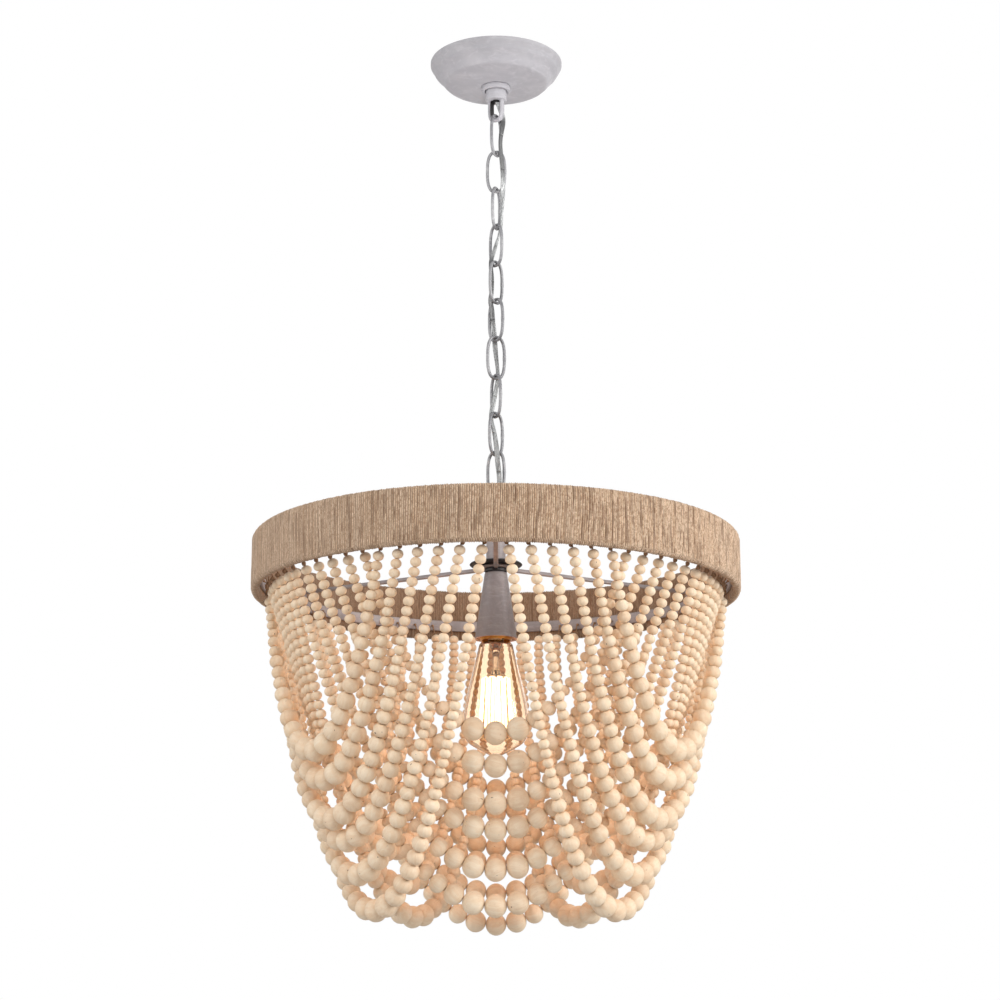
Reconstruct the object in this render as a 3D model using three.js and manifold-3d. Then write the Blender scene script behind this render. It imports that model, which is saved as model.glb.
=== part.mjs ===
// Beaded chandelier: a twine-wrapped ring on a chain, hung with swags of wooden beads round one lamp.
// Millimetres, +Z up. The origin is on the axis in the ceiling plane, and everything hangs below it.
// The front of the lamp faces -Y.

import * as THREE from "three";
import { mergeVertices } from "three/addons/utils/BufferGeometryUtils.js";
import Module from "manifold-3d";

const wasm = await Module();
wasm.setup();

// Clearances
const seatGap = 0.3; // between faces that touch in use
const boreClearance = 0.3; // round a stem in its hole
const linkGap = 0.35; // between the wires of two linked links
const cutOverrun = 1; // how far a cutting tool runs past a face

// Ceiling bracket
const crossbarLength = 104;
const crossbarWidth = 20;
const crossbarThickness = 2.5;
const slotInset = 12.3; // from the bar's end to the middle of a slot
const slotLength = 15;
const slotWidth = 5.4;

// Threaded stem, the same thread at the ceiling and at the hub
const stemRadius = 4.8;
const stemBoreRadius = 3.2;

// Canopy
const canopyRadius = 68.3;
const canopyDepth = 26;
const canopyWall = 1.2;
const canopyHoleRadius = 12;
const canopyOutlineShares = [ // of the radius and of the depth, from the middle out to the rim
  [0.25, 1], [0.5, 0.965], [0.73, 0.9], [0.8, 0.8], [0.86, 0.6], [0.93, 0.42], [0.955, 0.3], [1, 0.1], [1, 0],
];

// Collar ring under the canopy
const collarRadius = 16.2;
const collarHeight = 5.4;
const collarBoreRadius = 11.4;
const collarChamfer = 1.4;

// Screw loops at both ends of the chain, the upper one cast flat and wide
const loopBarRadius = 2.25;
const ceilingLoopWidth = 18.5;
const ceilingLoopDepth = 7.0;
const ceilingLoopHoleLength = 18.6;
const ceilingLoopBarDrop = 62.5;
const ceilingLoopBaseRadius = 10.9;
const ceilingLoopBaseTopDrop = 15;
const ceilingLoopYaw = -30;
const ceilingLoopRoundShare = 0.45;
const fixtureLoopWidth = 20.8;
const fixtureLoopHoleLength = 19;
const fixtureLoopBaseRadius = 9.6;
const fixtureLoopYaw = 65;

// Chain of long oval links
const linkWireRadius = 1.6;
const linkWidth = 21.2;
const linkRoundShare = 0.74; // 1 is an ellipse, and smaller is squarer
const linkPitch = 40.2;
const linkYaws = [58, -5, 66, -50, 48, -42, 20, -60, 45, -25];

// Ring that carries the beads
const ringRadius = 240;
const ringTopBelowLoop = 54.15;
const wrapHeight = 54;
const wrapThickness = 8;
const wrapEdgeRadius = 3.6;
const wrapCornerShares = [0.08, 0.92];
const hoopThickness = 2.8;
const hoopHeight = 11;
const hoopTopBelowRingTop = 34;

// Hub under the lower loop
const hubSeatBelowRingTop = 20.4;
const washerRadius = 26;
const washerThickness = 2.6;
const washerEdgeRadius = 1.2;
const hubRadius = 15;
const hubHeight = 2.4;
const armCount = 3;
const armWidth = 4.6;
const armThickness = 3.6;
const tabThickness = 3;
const lockRingRadius = 11;
const lockRingHeight = 3.4;

// Socket cup, lampholder and lamp
const cupTopRadius = 11.2;
const cupMouthRadius = 20.7;
const cupHeight = 66.7;
const cupWall = 1.2;
const holderNeckRadius = 9;
const holderNeckLength = 27;
const holderBarrelRadius = 15.6;
const holderBarrelLength = 27.9;
const holderShoulderLength = 9;
const holderStemDepth = 6;
const stemBelowCupTop = 10;
const capRadius = 13.2;
const capLength = 22.5;
const capContactRadius = 4.5;
const capContactHeight = 1.6;
const capInsulatorHeight = 5;
const capScrewClearance = 0.6;
const bulbRadius = 31.6;
const bulbLength = 114.1;
const bulbNeckRadius = 17.4;
const bulbThroatRadius = 13.4;
const bulbGlass = 1.1;
const bulbNeckDropShares = [0.024, 0.054, 0.09];
const bulbSwellShares = [ // of the way from the neck's radius to the bulb's, and of the length
  [0.36, 0.28], [0.68, 0.44], [0.92, 0.585], [1, 0.68],
];
const bulbEndShares = [ // of the bulb's radius, and of the length
  [0.965, 0.795], [0.85, 0.88], [0.62, 0.95], [0.3, 0.988],
];
const stemGlassRadius = 3.2;
const stemGlassLength = 36;
const supportRadius = 1.5;
const supportLength = 88;

// Bead swags: six groups round the ring, six swags to a group
const swagGroups = 6;
const swagsPerGroup = 6;
const firstSwagHalfAngle = 32.5;
const swagAngleStep = 5;
const smallBeadRadius = 6;
const largeBeadRadius = 11;
const outerLargeReach = 15; // along the string from its middle, where the large beads end
const outerSmallReaches = [185, 185, 185, 185, 185, 185]; // where the small beads begin
const innerLargeReach = 18;
const innerSmallReaches = [75, 87, 99, 111, 123, 135];
const swagEndInset = 4.6; // of a swag's line from the hoop's inner face
const swagCurveShare = 1.5; // of the hanging curve: more is straighter arms and a tighter turn
const outerFirstDropShare = 0.764; // of the swags' end radius
const outerDropSteps = [26.2, 35.9, 19.1, 30.9, 31.9]; // from one swag's drop to the next one's
const innerFirstDropShare = 0.736;
const innerDropSteps = [27.8, 32.1, 22.9, 34.5, 31.2];
const outerBulgeShares = [0.3, 0.3, 0.6, 0.6, 0.85, 0.65]; // of the large bead radius
const innerBulgeShare = 2.45;

// Supply cord, two cores side by side
const cordWidth = 5.2;
const cordThickness = 2.8;
const cordEndGap = 0.5;

// Facets
const roundSides = 32;
const ringSides = 48;
const smallSides = 24;
const linkSides = 20;
const wireSides = 6;
const swagSteps = 16;
const cordSteps = 116;
const fullTurn = 2 * Math.PI;
const quarterTurn = Math.PI / 2;

// Places worked out from the sizes above
const radians = THREE.MathUtils.degToRad;
const slotSpacing = crossbarLength - 2 * slotInset;
const linkLength = linkPitch + 2 * linkWireRadius + linkGap;
const barToWire = loopBarRadius + linkWireRadius + linkGap;
const firstLinkTop = -ceilingLoopBarDrop + barToWire;
const lastLinkBottom = firstLinkTop - (linkYaws.length - 1) * linkPitch - linkLength;
const fixtureLoopBar = lastLinkBottom + barToWire;
const ringTop = fixtureLoopBar - ringTopBelowLoop;
const wrapInnerRadius = ringRadius - wrapThickness;
const hoopOuterRadius = wrapInnerRadius - seatGap;
const hoopInnerRadius = hoopOuterRadius - hoopThickness;
const hoopTop = ringTop - hoopTopBelowRingTop;
const hubSeat = ringTop - hubSeatBelowRingTop;
const stemHoleRadius = stemRadius + boreClearance;
const washerTop = hubSeat - seatGap;
const hubTop = washerTop - washerThickness - seatGap;
const hubBottom = hubTop - hubHeight;
const lockRingTop = hubBottom - seatGap;
const cupTop = lockRingTop - lockRingHeight - seatGap;
const cupMouth = cupTop - cupHeight;
const stemEnd = cupTop - stemBelowCupTop;
const holderRecess = stemEnd - seatGap;
const holderTop = holderRecess + holderStemDepth;
const barrelTop = holderTop - holderNeckLength - holderShoulderLength;
const barrelMouth = barrelTop - holderBarrelLength;
const screwBoreRadius = capRadius + capScrewClearance;
const screwBoreTop = barrelMouth + capLength + capInsulatorHeight / 2;
const capTop = screwBoreTop - seatGap;
const capBottom = capTop - capLength;
const glassTop = capBottom - seatGap;
const bulbTip = glassTop - bulbLength;
const hoopBottom = hoopTop - hoopHeight;
const swagTop = hoopBottom - seatGap;
const swagLead = smallBeadRadius / 2;
const swagEndRadius = hoopInnerRadius - swagEndInset;

// The cord's route, point by point: down the ceiling stem, out of the loop's eye, in and out of the
// links, and down the lower stem to the lampholder
const cordRoute = [
  [0, 0, -0.5], [0, 0, -20], [0, 0, -38], [1.9, 1.1, -44], [4.6, 2.4, -51], [6.9, 3, -58],
  [7.1, 2.6, -65], [6, 1.1, -73], [4.8, -1.1, -82], [4.4, -3.3, -92], [5, -4.9, -102],
  [5.8, -5.6, -112], [6.5, -5.7, -122], [6.9, -5.2, -132], [6.9, -4.4, -140], [6.7, -3.3, -147],
  [6.5, -2.1, -154], [6.2, -0.9, -162], [5.6, 0.2, -171], [4.9, 1, -180], [2.9, 1.3, -189],
  [0.4, 1.5, -198], [-2.1, 1.6, -207], [-4.8, 1.4, -216], [-5.2, 0.6, -225], [-4.4, 0.2, -234],
  [-4.2, 0, -243], [-4.7, 0, -252], [-5.6, 0.4, -261], [-4.2, 1.4, -270], [-3.3, 2.7, -279],
  [-2.3, 4.4, -288], [-1.5, 6.1, -297], [-1.1, 6.9, -306], [-0.3, 7.1, -315], [0.7, 6.9, -324],
  [1.6, 6.3, -333], [1.7, 5.5, -342], [0.5, 4.4, -351], [-1.1, 3.2, -360], [-2.7, 1.9, -369],
  [-4.5, 0.6, -378], [-4.8, -0.8, -387], [-2.7, -2.1, -396], [-1, -3.3, -405], [0.2, -4.3, -414],
  [1.1, -5.2, -423], [1.7, -5.8, -432], [2.7, -6.1, -441], [3.4, -6, -450], [3.3, -5.6, -459],
  [2.2, -3.4, -468], [0.8, -1.2, -476], [0.1, -0.2, -483], [0, 0, -489], [0, 0, -495], [0, 0, -503],
  [0, 0, -515],
];

// Which way its wide side faces at each of those points, in degrees from the X axis
const cordTurns = [
  -66, -56, -46, -37, -27, -17, 0, 28, 52, 56, 49, 49, 52, 52, 33, -9, -51, -80, -99, -103, -90, -67,
  -51, -43, -49, -51, -49, -42, -33, -36, -43, -45, -31, 2, 36, 58, 64, 59, 52, 49, 47, 46, 49, 52, 42,
  26, 8, -8, -22, -31, -33, -33, -34, -35, -36, -37, -38, -39,
];

// Finishes
const finishes = {
  paintedSteel: { color: 0xbcbcc2, roughness: 0.6, metalness: 0.1 },
  zincSteel: { color: 0xa9acb0, roughness: 0.4, metalness: 0.8 },
  chainSteel: { color: 0xb4b4ba, roughness: 0.35, metalness: 0.8 },
  blackSteel: { color: 0x2a2729, roughness: 0.5, metalness: 0.4 },
  greySteel: { color: 0x989099, roughness: 0.5, metalness: 0.3 },
  twine: { color: 0xbe9f80, roughness: 0.95, metalness: 0 },
  cord: { color: 0xaeb0b0, roughness: 0.3, metalness: 0 },
  brass: { color: 0xb98b4a, roughness: 0.35, metalness: 0.9 },
  amberGlass: { color: 0xe8b67a, roughness: 0.05, metalness: 0 },
  wood: { color: 0xe6d2b8, roughness: 0.7, metalness: 0 },
};

function piece(name, geometry, finish) {
  const mesh = new THREE.Mesh(geometry, new THREE.MeshStandardMaterial(finishes[finish]));
  mesh.name = name;
  return mesh;
}

// A turned solid. The profile is a list of [radius, height]; it starts and ends on the axis, or is
// closed here when it stays off the axis. Either way round will do.
function turned(profile, sides) {
  const points = profile.map(([radius, height]) => new THREE.Vector2(radius, height));
  if (profile[0][0] > 0) points.push(points[0].clone());
  if (THREE.ShapeUtils.area(points) < 0) points.reverse();
  const geometry = new THREE.LatheGeometry(points, sides);
  geometry.rotateX(quarterTurn);
  return geometry;
}

// A tube through points as one closed body. Each section is an ellipse: its half width lies toward
// that point's reference direction, and its half thickness across it. A closed tube runs back into
// itself.
function tubeThrough(points, halfWidths, halfThicknesses, references, closed) {
  const positions = [];
  const faces = [];
  const count = points.length;
  const ring = (index) => (closed ? (index + count) % count : Math.min(Math.max(index, 0), count - 1));
  points.forEach((point, index) => {
    const along = points[ring(index + 1)].clone().sub(points[ring(index - 1)]).normalize();
    const reference = references[index];
    const across = reference.clone().addScaledVector(along, -reference.dot(along)).normalize();
    const third = along.clone().cross(across);
    for (let side = 0; side < wireSides; side += 1) {
      const angle = (side / wireSides) * fullTurn;
      const vertex = point.clone()
        .addScaledVector(across, halfWidths[index] * Math.cos(angle))
        .addScaledVector(third, halfThicknesses[index] * Math.sin(angle));
      positions.push(vertex.x, vertex.y, vertex.z);
    }
  });
  for (let index = 0; index < (closed ? count : count - 1); index += 1) {
    for (let side = 0; side < wireSides; side += 1) {
      const next = (side + 1) % wireSides;
      const here = index * wireSides;
      const there = ring(index + 1) * wireSides;
      faces.push(here + side, here + next, there + side);
      faces.push(here + next, there + next, there + side);
    }
  }
  if (!closed) {
    const last = (count - 1) * wireSides;
    for (let side = 1; side < wireSides - 1; side += 1) {
      faces.push(0, side + 1, side);
      faces.push(last, last + side, last + side + 1);
    }
  }
  const geometry = new THREE.BufferGeometry();
  geometry.setAttribute("position", new THREE.Float32BufferAttribute(positions, 3));
  geometry.setIndex(faces);
  geometry.computeVertexNormals();
  return geometry;
}

// Solids to join and cut
function solid(geometry) {
  const bare = geometry.clone();
  bare.deleteAttribute("normal");
  bare.deleteAttribute("uv");
  const merged = mergeVertices(bare);
  return new wasm.Manifold(new wasm.Mesh({
    numProp: 3,
    vertProperties: Float32Array.from(merged.attributes.position.array),
    triVerts: Uint32Array.from(merged.index.array),
  }));
}

function geometryOf(manifold) {
  const mesh = manifold.getMesh();
  const geometry = new THREE.BufferGeometry();
  geometry.setAttribute("position", new THREE.Float32BufferAttribute(mesh.vertProperties, 3));
  geometry.setIndex(Array.from(mesh.triVerts));
  geometry.computeVertexNormals();
  return geometry;
}

// An upright cylinder between two heights
function cylinder(radius, bottom, top, sides) {
  const geometry = new THREE.CylinderGeometry(radius, radius, top - bottom, sides);
  geometry.rotateX(quarterTurn);
  geometry.translate(0, 0, (top + bottom) / 2);
  return geometry;
}

// A long oval in the XZ plane, bent from wire. Its wire is halfWidth thick in the plane and
// halfDepth thick across it, both half measures from the wire's middle line.
function ovalWire(reach, top, bottom, roundShare, halfWidth, halfDepth) {
  const points = [];
  const bend = (value) => Math.sign(value) * Math.abs(value) ** roundShare;
  for (let step = 0; step < linkSides; step += 1) {
    const angle = (step / linkSides) * fullTurn;
    points.push(new THREE.Vector3(
      reach * bend(Math.cos(angle)),
      0,
      (top + bottom) / 2 + ((top - bottom) / 2) * bend(Math.sin(angle)),
    ));
  }
  const depthways = points.map(() => new THREE.Vector3(0, 1, 0));
  return tubeThrough(points, points.map(() => halfDepth), points.map(() => halfWidth), depthways, true);
}

// Ceiling bracket: a steel strap with a threaded middle hole and two screw slots
function crossbar() {
  const outline = new THREE.Shape();
  outline.moveTo(-crossbarLength / 2, -crossbarWidth / 2);
  outline.lineTo(crossbarLength / 2, -crossbarWidth / 2);
  outline.lineTo(crossbarLength / 2, crossbarWidth / 2);
  outline.lineTo(-crossbarLength / 2, crossbarWidth / 2);
  outline.closePath();
  const hole = new THREE.Path();
  hole.absarc(0, 0, stemHoleRadius, 0, fullTurn, true);
  outline.holes.push(hole);
  for (const side of [-1, 1]) {
    const slot = new THREE.Path();
    const middle = (side * slotSpacing) / 2;
    const reach = (slotLength - slotWidth) / 2;
    slot.absarc(middle + reach, 0, slotWidth / 2, -quarterTurn, quarterTurn, false);
    slot.absarc(middle - reach, 0, slotWidth / 2, quarterTurn, 3 * quarterTurn, false);
    slot.closePath();
    outline.holes.push(slot);
  }
  const geometry = new THREE.ExtrudeGeometry(outline, {
    depth: crossbarThickness, bevelEnabled: false, curveSegments: wireSides,
  });
  geometry.translate(0, 0, -crossbarThickness);
  return geometry;
}

// The inner face of a thin turned shell: its outside points, each moved in by the wall
function insideOf(outside, wall) {
  return outside.map((point, index) => {
    const before = outside[Math.max(index - 1, 0)];
    const after = outside[Math.min(index + 1, outside.length - 1)];
    const along = new THREE.Vector2(after[0] - before[0], after[1] - before[1]).normalize();
    return [Math.max(point[0] - along.y * wall, 0), point[1] + along.x * wall];
  });
}

// Canopy: a shallow pressed dish with two steps, open to the ceiling
function canopy() {
  const outside = [
    [canopyHoleRadius, -canopyDepth],
    ...canopyOutlineShares.map(([reach, drop]) => [canopyRadius * reach, -canopyDepth * drop]),
  ];
  return turned([...outside, ...insideOf(outside, canopyWall).reverse()], roundSides);
}

function collarRing() {
  const top = -canopyDepth - seatGap;
  return turned([
    [collarBoreRadius, top],
    [collarRadius, top],
    [collarRadius, top - collarHeight + collarChamfer],
    [collarRadius - collarChamfer, top - collarHeight],
    [collarBoreRadius, top - collarHeight],
  ], roundSides);
}

// A screw loop with its bar at the height barHeight. It reaches to baseNear with the eye's hole, is a
// round base to baseFar, and a threaded stem to stemTip; a bore runs from the stem into the eye. The
// eye's width, hole length, depth and roundness come in the list named eyeSizes.
function screwLoop(barHeight, baseFar, stemTip, baseRadius, eyeSizes) {
  const [width, holeLength, depth, roundShare] = eyeSizes;
  const way = Math.sign(baseFar - barHeight);
  const baseNear = barHeight + way * (loopBarRadius + holeLength);
  const eyeFar = baseNear + way * width;
  const eye = solid(ovalWire(width / 2 - loopBarRadius, Math.max(barHeight, eyeFar),
    Math.min(barHeight, eyeFar), roundShare, loopBarRadius, depth / 2));
  const base = solid(cylinder(baseRadius, Math.min(baseNear, baseFar), Math.max(baseNear, baseFar), smallSides));
  const stem = solid(cylinder(stemRadius, Math.min(baseFar, stemTip) - (way < 0 ? 0 : cutOverrun),
    Math.max(baseFar, stemTip) + (way < 0 ? cutOverrun : 0), smallSides));
  const boreEnds = [stemTip + way * cutOverrun, baseNear - way * cutOverrun];
  const bore = solid(cylinder(stemBoreRadius, Math.min(...boreEnds), Math.max(...boreEnds), smallSides));
  return geometryOf(eye.add(base).add(stem).subtract(bore));
}

// Twine-wrapped band, solid right through: the steel band inside it and the twine round it
function twineWrap() {
  const outline = [];
  const corners = [
    [ringRadius - wrapEdgeRadius, ringTop - wrapHeight + wrapEdgeRadius, -quarterTurn],
    [ringRadius - wrapEdgeRadius, ringTop - wrapEdgeRadius, 0],
    [wrapInnerRadius + wrapEdgeRadius, ringTop - wrapEdgeRadius, quarterTurn],
    [wrapInnerRadius + wrapEdgeRadius, ringTop - wrapHeight + wrapEdgeRadius, 2 * quarterTurn],
  ];
  for (const [radius, height, start] of corners) {
    for (const share of wrapCornerShares) {
      const angle = start + share * quarterTurn;
      outline.push([radius + wrapEdgeRadius * Math.cos(angle), height + wrapEdgeRadius * Math.sin(angle)]);
    }
  }
  return turned(outline, ringSides);
}

function hubWasher() {
  return turned([
    [stemHoleRadius, washerTop],
    [washerRadius - washerEdgeRadius, washerTop],
    [washerRadius, washerTop - washerEdgeRadius],
    [washerRadius, washerTop - washerThickness + washerEdgeRadius],
    [washerRadius - washerEdgeRadius, washerTop - washerThickness],
    [stemHoleRadius, washerTop - washerThickness],
  ], roundSides);
}

// Welded frame: a hub with three flat arms, each turned down at its end and welded to the bead hoop
function hoopFrame() {
  const armEnd = (hoopInnerRadius + hoopOuterRadius) / 2;
  const tabBottom = hoopTop - hoopHeight / 2;
  let body = solid(turned([
    [hoopInnerRadius, hoopTop],
    [hoopOuterRadius, hoopTop],
    [hoopOuterRadius, hoopBottom],
    [hoopInnerRadius, hoopBottom],
  ], ringSides));
  body = body.add(solid(cylinder(hubRadius, hubBottom, hubTop, smallSides)));
  const armBottom = hubTop - armThickness;
  const armStart = lockRingRadius + seatGap;
  const side = new THREE.Shape([
    [armStart, hubTop],
    [armEnd, hubTop],
    [armEnd, tabBottom],
    [armEnd - tabThickness, tabBottom],
    [armEnd - tabThickness, armBottom],
    [armStart, armBottom],
  ].map(([reach, height]) => new THREE.Vector2(reach, height)));
  for (let arm = 0; arm < armCount; arm += 1) {
    const bar = new THREE.ExtrudeGeometry(side, { depth: armWidth, bevelEnabled: false });
    bar.translate(0, 0, -armWidth / 2);
    bar.rotateX(quarterTurn);
    bar.rotateZ((arm / armCount) * fullTurn - quarterTurn);
    body = body.add(solid(bar));
  }
  const hole = solid(cylinder(stemHoleRadius, hubBottom - cutOverrun, hubTop + cutOverrun, smallSides));
  return geometryOf(body.subtract(hole));
}

function lockRing() {
  return turned([
    [stemHoleRadius, lockRingTop],
    [lockRingRadius, lockRingTop],
    [lockRingRadius, lockRingTop - lockRingHeight],
    [stemHoleRadius, lockRingTop - lockRingHeight],
  ], smallSides);
}

function socketCup() {
  return turned([
    [stemHoleRadius, cupTop],
    [cupTopRadius - cupWall, cupTop],
    [cupTopRadius, cupTop - cupWall],
    [cupMouthRadius, cupMouth],
    [cupMouthRadius - cupWall, cupMouth],
    [cupTopRadius - cupWall, cupTop - cupWall],
    [stemHoleRadius, cupTop - cupWall],
  ], roundSides);
}

// Lampholder: a slim neck screwed on the stem, and a barrel with the screw bore open below
function lampholder() {
  return turned([
    [0, holderRecess],
    [stemHoleRadius, holderRecess],
    [stemHoleRadius, holderTop],
    [holderNeckRadius, holderTop],
    [holderNeckRadius, holderTop - holderNeckLength],
    [holderBarrelRadius, barrelTop],
    [holderBarrelRadius, barrelMouth],
    [screwBoreRadius, barrelMouth],
    [screwBoreRadius, screwBoreTop],
    [0, screwBoreTop],
  ], roundSides);
}

// Lamp cap with the glass stem and the filament's support rod in one
function lampCap() {
  return turned([
    [0, capTop],
    [capContactRadius, capTop],
    [capContactRadius, capTop - capContactHeight],
    [capRadius, capTop - capInsulatorHeight],
    [capRadius, capBottom],
    [stemGlassRadius, capBottom],
    [stemGlassRadius, capBottom - stemGlassLength],
    [supportRadius, capBottom - stemGlassLength - stemGlassRadius],
    [supportRadius, capBottom - supportLength],
    [0, capBottom - supportLength - supportRadius],
  ], smallSides);
}

// Pear-shaped glass, a shell open at its throat
function lampGlass() {
  const [throatEnd, neckStart, neckEnd] = bulbNeckDropShares.map((share) => glassTop - share * bulbLength);
  const outside = [
    [bulbThroatRadius, glassTop],
    [bulbThroatRadius, throatEnd],
    [bulbNeckRadius - bulbGlass, neckStart],
    [bulbNeckRadius, neckEnd],
    ...bulbSwellShares.map(([reach, drop]) => [
      THREE.MathUtils.lerp(bulbNeckRadius, bulbRadius, reach), glassTop - drop * bulbLength,
    ]),
    ...bulbEndShares.map(([reach, drop]) => [bulbRadius * reach, glassTop - drop * bulbLength]),
    [0, bulbTip],
  ];
  const inside = insideOf(outside.reverse(), bulbGlass);
  inside[0] = [0, bulbTip + bulbGlass];
  return turned([...outside, ...inside.reverse()], smallSides);
}

// One swag: the string of beads as a tube that swells to the large beads round its middle. Its ends
// are under the hoop at plus and minus the half angle, and below a short straight lead it hangs as a
// chain does. Every second group lies inside its neighbours: its swags bulge inwards and the others
// outwards, so that they pass in front of and behind each other.
function swag(index, isInner) {
  const halfAngle = radians(firstSwagHalfAngle + index * swagAngleStep);
  const halfWidth = swagEndRadius * Math.sin(halfAngle);
  const standOff = swagEndRadius * Math.cos(halfAngle);
  const dropSteps = (isInner ? innerDropSteps : outerDropSteps).slice(0, index);
  const firstDrop = swagEndRadius * (isInner ? innerFirstDropShare : outerFirstDropShare);
  const drop = dropSteps.reduce((sum, step) => sum + step, firstDrop);
  const bulge = largeBeadRadius * (isInner ? -innerBulgeShare : outerBulgeShares[index]);
  const points = [];
  for (let step = 0; step <= swagSteps; step += 1) {
    const angle = (step / swagSteps - 0.5) * Math.PI;
    const rise = (Math.cosh(swagCurveShare * Math.sin(angle)) - 1) / (Math.cosh(swagCurveShare) - 1);
    points.push(new THREE.Vector3(
      halfWidth * Math.sin(angle),
      -standOff - bulge * Math.cos(angle),
      swagTop - swagLead - drop * (1 - rise),
    ));
  }
  const reaches = [0];
  for (let step = 1; step <= swagSteps; step += 1) {
    reaches.push(reaches[step - 1] + points[step].distanceTo(points[step - 1]));
  }
  const [large, small] = isInner
    ? [innerLargeReach, innerSmallReaches[index]]
    : [outerLargeReach, outerSmallReaches[index]];
  const radii = reaches.map((reach) => {
    const fromMiddle = Math.abs(reach - reaches[swagSteps] / 2);
    const share = THREE.MathUtils.clamp((fromMiddle - large) / (small - large), 0, 1);
    return THREE.MathUtils.lerp(largeBeadRadius, smallBeadRadius, share);
  });
  points.unshift(points[0].clone().setZ(swagTop));
  points.push(points[points.length - 1].clone().setZ(swagTop));
  radii.unshift(smallBeadRadius);
  radii.push(smallBeadRadius);
  const outwards = points.map(() => new THREE.Vector3(0, 1, 0));
  return tubeThrough(points, radii, radii, outwards, false);
}

// Cord, whole along its real route and twisted as it goes
function supplyCord() {
  const route = cordRoute.map(([x, y, z]) => new THREE.Vector3(x, y, z));
  route.push(new THREE.Vector3(0, 0, stemEnd + cordEndGap));
  const points = new THREE.CatmullRomCurve3(route).getPoints(cordSteps);
  const sideways = points.map((point, index) => {
    const place = (index / cordSteps) * cordTurns.length;
    const before = Math.min(Math.floor(place), cordTurns.length - 1);
    const after = Math.min(before + 1, cordTurns.length - 1);
    const turn = radians(THREE.MathUtils.lerp(cordTurns[before], cordTurns[after], place - before));
    return new THREE.Vector3(Math.cos(turn), Math.sin(turn), 0);
  });
  const halfWidths = points.map(() => cordWidth / 2);
  const halfThicknesses = points.map(() => cordThickness / 2);
  return tubeThrough(points, halfWidths, halfThicknesses, sideways, false);
}

const chandelier = new THREE.Group();

// Ceiling end
chandelier.add(piece("ceiling_crossbar", crossbar(), "zincSteel"));
const ceilingLoop = piece("ceiling_loop",
  screwLoop(-ceilingLoopBarDrop, -ceilingLoopBaseTopDrop, -seatGap, ceilingLoopBaseRadius,
    [ceilingLoopWidth, ceilingLoopHoleLength, ceilingLoopDepth, ceilingLoopRoundShare]), "paintedSteel");
ceilingLoop.rotation.z = radians(ceilingLoopYaw);
chandelier.add(ceilingLoop);
chandelier.add(piece("canopy", canopy(), "paintedSteel"));
chandelier.add(piece("collar_ring", collarRing(), "paintedSteel"));
chandelier.add(piece("supply_cord", supplyCord(), "cord"));

// Chain, each link turned about the axis by its own yaw
const linkShape = ovalWire(
  linkWidth / 2 - linkWireRadius, 0, -linkLength, linkRoundShare, linkWireRadius, linkWireRadius);
linkYaws.forEach((yaw, index) => {
  const link = piece(`chain_link_${String(index + 1).padStart(2, "0")}`, linkShape.clone(), "chainSteel");
  link.position.z = firstLinkTop - index * linkPitch;
  link.rotation.z = radians(yaw);
  chandelier.add(link);
});

// Hanging fixture
const fixture = new THREE.Group();
const fixtureLoop = piece("fixture_loop",
  screwLoop(fixtureLoopBar, hubSeat, stemEnd, fixtureLoopBaseRadius,
    [fixtureLoopWidth, fixtureLoopHoleLength, 2 * loopBarRadius, linkRoundShare]), "greySteel");
fixtureLoop.rotation.z = radians(fixtureLoopYaw);
fixture.add(fixtureLoop);
fixture.add(piece("hub_washer", hubWasher(), "blackSteel"));
fixture.add(piece("hoop_frame", hoopFrame(), "greySteel"));
fixture.add(piece("twine_wrap", twineWrap(), "twine"));
fixture.add(piece("lock_ring", lockRing(), "blackSteel"));
fixture.add(piece("socket_cup", socketCup(), "greySteel"));
fixture.add(piece("lampholder", lampholder(), "brass"));

// Bead swags, group by group round the ring; every second group lies inside its neighbours
for (let group = 0; group < swagGroups; group += 1) {
  const curtain = new THREE.Group();
  curtain.rotation.z = (group / swagGroups) * fullTurn;
  for (let index = 0; index < swagsPerGroup; index += 1) {
    curtain.add(piece(`bead_swag_${group + 1}_${index + 1}`, swag(index, group % 2 === 0), "wood"));
  }
  fixture.add(curtain);
}
chandelier.add(fixture);

// Lamp
const lamp = new THREE.Group();
lamp.add(piece("lamp_cap", lampCap(), "brass"));
lamp.add(piece("lamp_glass", lampGlass(), "amberGlass"));
chandelier.add(lamp);

export default chandelier;
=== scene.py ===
# The looks of the beaded chandelier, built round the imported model. Sizes are written in
# millimetres, as the model's are, and turned to metres where a mesh is made.
import math
import random

import bpy
import numpy as np
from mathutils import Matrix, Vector


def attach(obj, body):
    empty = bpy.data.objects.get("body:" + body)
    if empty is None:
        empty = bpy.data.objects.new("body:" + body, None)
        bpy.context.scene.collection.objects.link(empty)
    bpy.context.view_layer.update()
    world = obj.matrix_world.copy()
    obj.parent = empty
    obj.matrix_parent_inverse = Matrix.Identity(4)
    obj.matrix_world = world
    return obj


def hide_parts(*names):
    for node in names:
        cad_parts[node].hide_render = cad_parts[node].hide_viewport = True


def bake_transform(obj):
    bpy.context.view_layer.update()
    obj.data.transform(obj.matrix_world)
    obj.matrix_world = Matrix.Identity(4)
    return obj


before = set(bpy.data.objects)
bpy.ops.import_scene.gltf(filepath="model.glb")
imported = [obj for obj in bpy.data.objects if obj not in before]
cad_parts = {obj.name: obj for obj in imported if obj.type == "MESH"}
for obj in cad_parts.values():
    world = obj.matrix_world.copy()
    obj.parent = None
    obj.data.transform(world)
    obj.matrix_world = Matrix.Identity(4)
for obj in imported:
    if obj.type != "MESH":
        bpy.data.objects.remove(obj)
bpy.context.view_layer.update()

MM = 0.001
FULL_TURN = 2 * math.pi
UP = np.array([0.0, 0.0, 1.0])

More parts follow.
